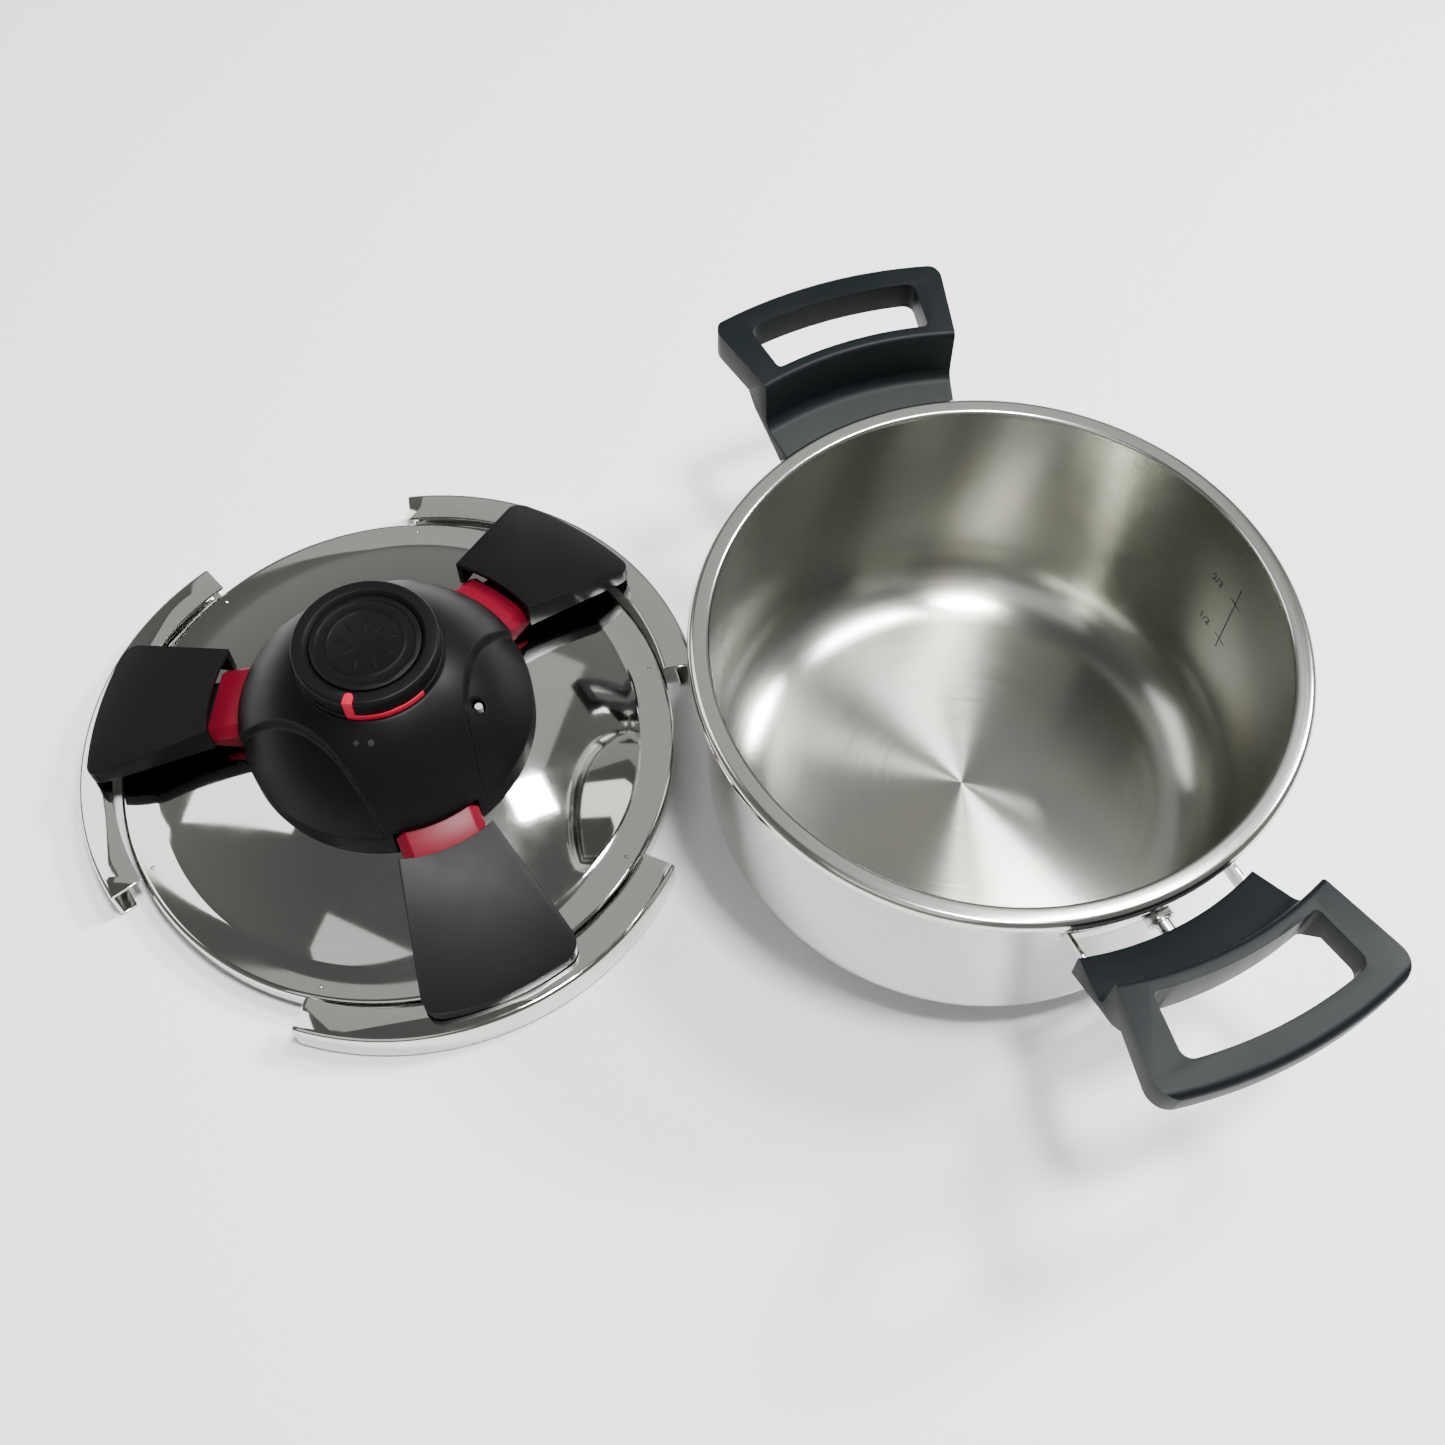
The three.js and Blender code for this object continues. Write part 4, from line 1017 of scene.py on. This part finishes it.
class COOKER_OT_knob(bpy.types.Operator):
    """Turn the knob, its round cap and the red pointer ring"""

    bl_idname = "cooker.knob"
    bl_label = "Knob"

    def execute(self, context):
        hub = context.scene.cooker_hub
        knob = self.knob(hub)
        shown(on_lid(knob), "knob", "knob_plastic", "knob", materials=("knob plastic",))
        cap = self.cap(hub)
        shown(on_lid(cap), "knob", "cap_plastic", "knob_cap", materials=("cap plastic",))
        ring = self.ring(hub)
        shown(on_lid(ring), "knob", "pointer_plastic", "pointer_ring",
              materials=("pointer plastic", "knob plastic"))
        return {"FINISHED"}

    @staticmethod
    def knob(hub):
        bottom = hub.knob_top - hub.knob_skirt
        top = hub.knob_top
        r = hub.knob_radius
        recess = hub.cap_radius + 0.3 * MM
        floor = top - hub.cap_sink - 3.1 * MM
        stem = 8.5 * MM
        knob = turned("knob_body", [
            (5.3 * MM, hub.top_z - 10 * MM), (stem, hub.top_z - 10 * MM), (stem, bottom + 1.5 * MM),
            (r - 3 * MM, bottom + 1.5 * MM), (r - 3 * MM, bottom), *arc(r - 0.7 * MM, bottom + 0.7 * MM, 0.7 * MM, -90, 0, 4),
            *arc(r - 1.5 * MM, top - 1.5 * MM, 1.5 * MM, 0, 90, 6),
            (recess + 2.0 * MM, top), *arc(recess + 1.9 * MM, top - 0.5 * MM, 0.5 * MM, 90, 130, 2),
            (recess + 0.2 * MM, top - 1.7 * MM), (recess, top - 2.0 * MM), (recess, floor),
            (2.3 * MM, floor), (2.3 * MM, floor - 1.6 * MM), (5.3 * MM, floor - 1.6 * MM)], 160)
        combine(knob, COOKER_OT_knob.tongue(hub, 0.3 * MM, 5 * MM, bottom - 1 * MM, top + 1 * MM))
        return soften(knob, 0.25 * MM, 2, 50)

    @staticmethod
    def cap(hub):
        """A round cap with a plain raised ring and short rays as its relief."""
        top = hub.knob_top - hub.cap_sink
        r = hub.cap_radius
        cap = turned("knob_disc", [
            (0, top - 1 * MM), (6 * MM, top - 1 * MM), (6 * MM, top - 2.8 * MM), (r, top - 2.8 * MM), (r, top - 0.5 * MM),
            (r - 0.2 * MM, top - 0.15 * MM), (r - 0.5 * MM, top), (r - 2.4 * MM, top), (r - 2.8 * MM, top - 0.5 * MM),
            (r - 6.2 * MM, top - 0.5 * MM), (r - 6.5 * MM, top - 0.1 * MM), (r - 7.3 * MM, top - 0.1 * MM),
            (r - 7.6 * MM, top - 0.5 * MM), (0, top - 0.5 * MM)], 144)
        bits = [soften(cap, 0.12 * MM, 2, 40)]
        rays = 9
        for i in range(rays):
            ray = block("ray", (5.5 * MM, -0.45 * MM, top - 0.8 * MM), (12.5 * MM, 0.45 * MM, top - 0.25 * MM))
            soften(ray, 0.15 * MM, 2, 40)
            bits.append(turned_to(ray, math.tau * i / rays))
        return joined(bits, "knob_disc")

    @staticmethod
    def ring(hub):
        top = hub.knob_top - hub.knob_skirt - 0.3 * MM
        r = hub.knob_radius
        ring = turned("pointer_band", [
            (9 * MM, top - hub.ring), (r, top - hub.ring), (r + 0.4 * MM, top - hub.ring + 0.4 * MM),
            (r + 0.4 * MM, top - 0.4 * MM), (r, top), (9 * MM, top)], 160)
        tab = COOKER_OT_knob.tongue(hub, 0, 0.2 * MM, top - 1 * MM, hub.knob_top + 0.2 * MM)
        combine(ring, tab, "UNION")
        soften(ring, 0.3 * MM, 2, 40)
        start = hub.pointer - math.radians(4)
        for face in ring.data.polygons:
            angle = math.atan2(face.center.y, face.center.x)
            face.material_index = 0 if start < angle < hub.band_end else 1
        return ring

    @staticmethod
    def tongue(hub, room, reach, z0, z1):
        """The upright pointer, or with some room its notch: straight sides and a round inner end."""
        half = hub.tab_half + room
        inner = hub.knob_radius - 5 * MM - room
        outer = hub.knob_radius + reach
        piece = slab("tongue", [*arc(inner + half, 0, half, 90, 270, 10), (outer, -half), (outer, half)], z0, z1)
        return turned_to(piece, hub.pointer)


# ------------------------------------------------------------------ jaws


def cover_slope(jaw, mouth):
    return (jaw.cover_top - jaw.cover_outer_top) / (jaw.cover_outer - mouth)


class COOKER_OT_jaws(bpy.types.Operator):
    """Model one steel jaw, its black cover and its red guide, and copy them to the three arms"""

    bl_idname = "cooker.jaws"
    bl_label = "Jaws"

    def execute(self, context):
        jaw = context.scene.cooker_jaw
        hub = context.scene.cooker_hub
        channel = self.channel(jaw)
        cover = self.cover(jaw, hub)
        guide = self.guide(jaw, hub)
        for name, degrees in ARMS:
            angle = math.radians(degrees)
            piece = on_lid(copied(channel, f"jaw_channel_{name}"), angle, jaw.travel)
            shown(piece, f"jaw_{name}", "jaw_steel", f"jaw_{name}", materials=("jaw steel",))
            piece = on_lid(copied(cover, f"cover_{name}"), angle, jaw.travel)
            shown(piece, f"jaw_{name}", "cover_plastic", f"jaw_cover_{name}", materials=("cover plastic",))
            piece = on_lid(copied(guide, f"guide_{name}"), angle)
            shown(piece, "lid", "red_plastic", f"guide_sleeve_{name}", materials=("guide plastic",))
        for model in (channel, cover, guide):
            bpy.data.objects.remove(model)
        return {"FINISHED"}

    @staticmethod
    def channel(jaw):
        r = jaw.radius
        edge = jaw.edge
        top = jaw.height
        sheet = jaw.sheet
        inner = edge - sheet
        outline = [
            (r - jaw.lip, 0), *arc(r - edge, edge, edge, -90, 0, 6), *arc(r - edge, top - edge, edge, 0, 90, 6),
            (r - jaw.flange, top), (r - jaw.flange, top - sheet),
            *arc(r - edge, top - edge, inner, 90, 0, 3), *arc(r - edge, edge, inner, 0, -90, 3), (r - jaw.lip, sheet)]
        piece = arc_piece("jaw_channel", outline, jaw.half_angle, 84)
        return soften(piece, 0.35 * MM, 2, 50)

    @staticmethod
    def cover(jaw, hub):
        mouth = hub.radius + 0.3 * MM
        slope = cover_slope(jaw, mouth)
        under = jaw.cover_top - jaw.cover_mouth_side
        rise = (under - jaw.height - jaw.cover_lift) / (jaw.cover_outer - mouth)

        def body(name, inset):
            plan = COOKER_OT_handles.plan(
                jaw.mouth_half - inset, jaw.outer_half - inset, mouth, jaw.cover_outer - inset,
                jaw.corner - inset * 0.6, 8, inner_reach=40 * MM)
            piece = slab(name, plan, 0, 90 * MM)
            top = jaw.cover_top - inset
            trim(piece, (mouth, 0, top), (slope, 0, 1))
            flank = (jaw.outer_half - jaw.mouth_half) / (jaw.cover_outer - mouth)
            for side in (-1, 1):
                at = (mouth, side * (jaw.mouth_half - inset - jaw.bevel), top)
                along = Vector((1, side * flank, -slope))
                down = Vector((0, side * jaw.bevel, -jaw.bevel))
                facing = along.cross(down) * side
                if facing.z < 0:
                    facing = -facing
                trim(piece, at, facing)
            trim(piece, (mouth, 0, under - (20 * MM if inset else 0)), (-rise, 0, -1))
            return piece

        cover = body("cover", 0)
        combine(cover, rod("mouth", mouth, 0, 0.1, segments=240))
        combine(cover, body("cavity", jaw.cover_wall))
        return soften(cover, 1.0 * MM, 4, 26)

    @staticmethod
    def guide(jaw, hub):
        """A red hood with a flat roof and bevelled shoulders, following the cover's slope."""
        x0 = hub.radius - hub.wall
        x1 = hub.radius + jaw.travel + 1.2 * MM
        top = jaw.cover_top - jaw.cover_wall - 0.3 * MM
        slope = cover_slope(jaw, hub.radius + 0.3 * MM)
        half = jaw.sleeve_half
        wall = jaw.sleeve_wall
        roof = jaw.sleeve_roof
        bevel = jaw.bevel - 0.5 * MM
        under = 34.5 * MM
        at = top + slope * (hub.radius - x0)
        points = [
            (x0, -half, under), (x0, -half, at - bevel), (x0, -half + bevel, at), (x0, half - bevel, at),
            (x0, half, at - bevel), (x0, half, under), (x0, half - wall, under),
            (x0, half - wall, at - bevel - 0.6 * MM), (x0, half - wall - bevel + 1 * MM, at - roof),
            (x0, -half + wall + bevel - 1 * MM, at - roof), (x0, -half + wall, at - bevel - 0.6 * MM),
            (x0, -half + wall, under)]
        piece = chain("guide", points)
        bpy.ops.mesh.edge_face_add()
        bpy.ops.mesh.extrude_region_move(TRANSFORM_OT_translate={"value": (x1 - x0, 0, -slope * (x1 - x0))})
        outward()
        trim(piece, (0, 0, under), (0, 0, -1))
        return soften(piece, 0.5 * MM, 3, 30)


# ------------------------------------------------------------------ CAD pieces that stay


STAYING = {
    "aluminium": ("base_core", "spindle_bush"),
    "inner plastic": ("hub_base",),
    "seal rubber": ("indicator_seat", "indicator_pin"),
    "carrier coat": ("carrier_a", "carrier_b", "carrier_c"),
    "plated steel": (
        "indicator_nut", "relief_seat", "relief_nut", "relief_plunger", "relief_spring",
        "relief_cap", "knob_screw", "spindle", "cam_disc", "spindle_washer", "spindle_nut",
        "cam_pin_a", "cam_pin_b", "cam_pin_c", "cover_screw_a", "cover_screw_b", "cover_screw_c",
        "rivet_a1", "rivet_a2", "rivet_b1", "rivet_b2", "rivet_c1", "rivet_c2"),
}


class COOKER_OT_mechanism(bpy.types.Operator):
    """Give the pieces of the mechanism their finishes"""

    bl_idname = "cooker.mechanism"
    bl_label = "Mechanism finishes"

    def execute(self, context):
        for material, nodes in STAYING.items():
            for node in nodes:
                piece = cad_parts[node]
                for slot in piece.material_slots:
                    slot.material = bpy.data.materials[material]
        return {"FINISHED"}


# ------------------------------------------------------------------ stage


class COOKER_OT_stage(bpy.types.Operator):
    """Make the pale floor, the soft lights and the camera"""

    bl_idname = "cooker.stage"
    bl_label = "Stage"

    def execute(self, context):
        look = context.scene.cooker_look
        self.floor(look)
        self.world(context)
        self.lights()
        self.camera(context, look)
        return {"FINISHED"}

    @staticmethod
    def floor(look):
        bpy.ops.object.select_all(action="DESELECT")
        bpy.ops.mesh.primitive_plane_add(size=40, location=(0, 0, -0.0002))
        floor = settle(named("floor"))
        material, tree, shader, place = new_material("floor paper")
        speck = noise(tree, place, 220.0, 3.0)
        pale = blend_colour(tree, speck, (*(0.98 * c for c in look.floor), 1), (*look.floor, 1))
        tree.links.new(pale, shader.inputs["Base Color"])
        shader.inputs["Roughness"].default_value = 0.8
        floor.data.materials.append(material)

    @staticmethod
    def world(context):
        world = bpy.data.worlds.new("soft room")
        context.scene.world = world
        world.use_nodes = True
        tree = world.node_tree
        sky = tree.nodes["Background"]
        facing = tree.nodes.new("ShaderNodeTexCoord").outputs["Generated"]
        up = add(tree, "ShaderNodeSeparateXYZ", {0: facing}).outputs[2]
        share = ramp(tree, up, -0.1, 0.9)
        tone = blend_colour(tree, share, (0.9, 0.9, 0.88, 1), (0.34, 0.35, 0.34, 1))
        tree.links.new(tone, sky.inputs["Color"])
        sky.inputs["Strength"].default_value = 0.34

    @staticmethod
    def lights():
        for name, place, aim, size, power in (
            ("softbox back", (-0.05, 1.3, 1.45), (-0.05, 0.0, 0.05), (0.3, 0.4), 50),
            ("softbox side", (-1.1, -1.0, 1.3), (-0.05, -0.1, 0.05), (0.9, 0.9), 7),
            ("softbox top", (0.3, 0.05, 1.87), (0.0, -0.02, 0.0), (0.25, 0.25), 56),
            ("softbox fill", (-0.12, 0.6, 1.8), (-0.05, -0.05, 0.0), (0.3, 0.3), 30),
            ("softbox front", (1.3, -1.6, 2.2), (-0.05, -0.1, 0.0), (1.8, 1.8), 8),
            ("ceiling panel", (-1.6, 0.7, 2.6), (-0.1, -0.1, 0.0), (2.4, 2.4), 7),
        ):
            bpy.ops.object.select_all(action="DESELECT")
            bpy.ops.object.light_add(type="AREA", location=place)
            light = bpy.context.object
            light.name = name
            light.data.shape = "RECTANGLE"
            light.data.size, light.data.size_y = size
            light.data.energy = power
            light.rotation_mode = "QUATERNION"
            light.rotation_quaternion = (Vector(aim) - Vector(place)).to_track_quat("-Z", "Y")

    @staticmethod
    def camera(context, look):
        bpy.ops.object.camera_add(location=(0.2644, -0.2358, 0.6429))
        camera = context.object
        camera.name = "camera"
        camera.data.sensor_width = 36
        camera.data.lens = look.lens
        azimuth = math.radians(65.5)
        elevation = math.radians(59.92)
        ahead = Vector((
            -math.sin(azimuth) * math.cos(elevation), math.cos(azimuth) * math.cos(elevation),
            -math.sin(elevation)))
        camera.rotation_euler = ahead.to_track_quat("-Z", "Y").to_euler()
        camera.data.clip_start = 0.01
        context.scene.camera = camera


# ------------------------------------------------------------------ panel and registration


OPERATORS = (
    COOKER_OT_materials, COOKER_OT_pot, COOKER_OT_handles, COOKER_OT_lid, COOKER_OT_hub,
    COOKER_OT_knob, COOKER_OT_jaws, COOKER_OT_mechanism, COOKER_OT_stage,
)

SETTINGS = {
    "cooker_pot": COOKER_PG_pot,
    "cooker_handle": COOKER_PG_handle,
    "cooker_lid": COOKER_PG_lid,
    "cooker_hub": COOKER_PG_hub,
    "cooker_jaw": COOKER_PG_jaw,
    "cooker_look": COOKER_PG_look,
}


class COOKER_PT_panel(bpy.types.Panel):
    """The cooker's build steps"""

    bl_idname = "COOKER_PT_panel"
    bl_label = "Pressure cooker"
    bl_space_type = "VIEW_3D"
    bl_region_type = "UI"
    bl_category = "Cooker"

    def draw(self, context):
        for operator in OPERATORS:
            self.layout.operator(operator.bl_idname)
        for name in SETTINGS:
            box = self.layout.box()
            settings = getattr(context.scene, name)
            for key in settings.__annotations__:
                box.prop(settings, key)


def register():
    for group in SETTINGS.values():
        bpy.utils.register_class(group)
    for name, group in SETTINGS.items():
        setattr(bpy.types.Scene, name, PointerProperty(type=group))
    for operator in OPERATORS:
        bpy.utils.register_class(operator)
    bpy.utils.register_class(COOKER_PT_panel)


def unregister():
    bpy.utils.unregister_class(COOKER_PT_panel)
    for operator in reversed(OPERATORS):
        bpy.utils.unregister_class(operator)
    for name, group in SETTINGS.items():
        delattr(bpy.types.Scene, name)
        bpy.utils.unregister_class(group)


def main():
    register()
    bpy.ops.cooker.materials()
    bpy.ops.cooker.pot()
    bpy.ops.cooker.handles()
    bpy.ops.cooker.lid()
    bpy.ops.cooker.hub()
    bpy.ops.cooker.knob()
    bpy.ops.cooker.jaws()
    bpy.ops.cooker.mechanism()
    bpy.ops.cooker.stage()


if __name__ == "__main__":
    main()
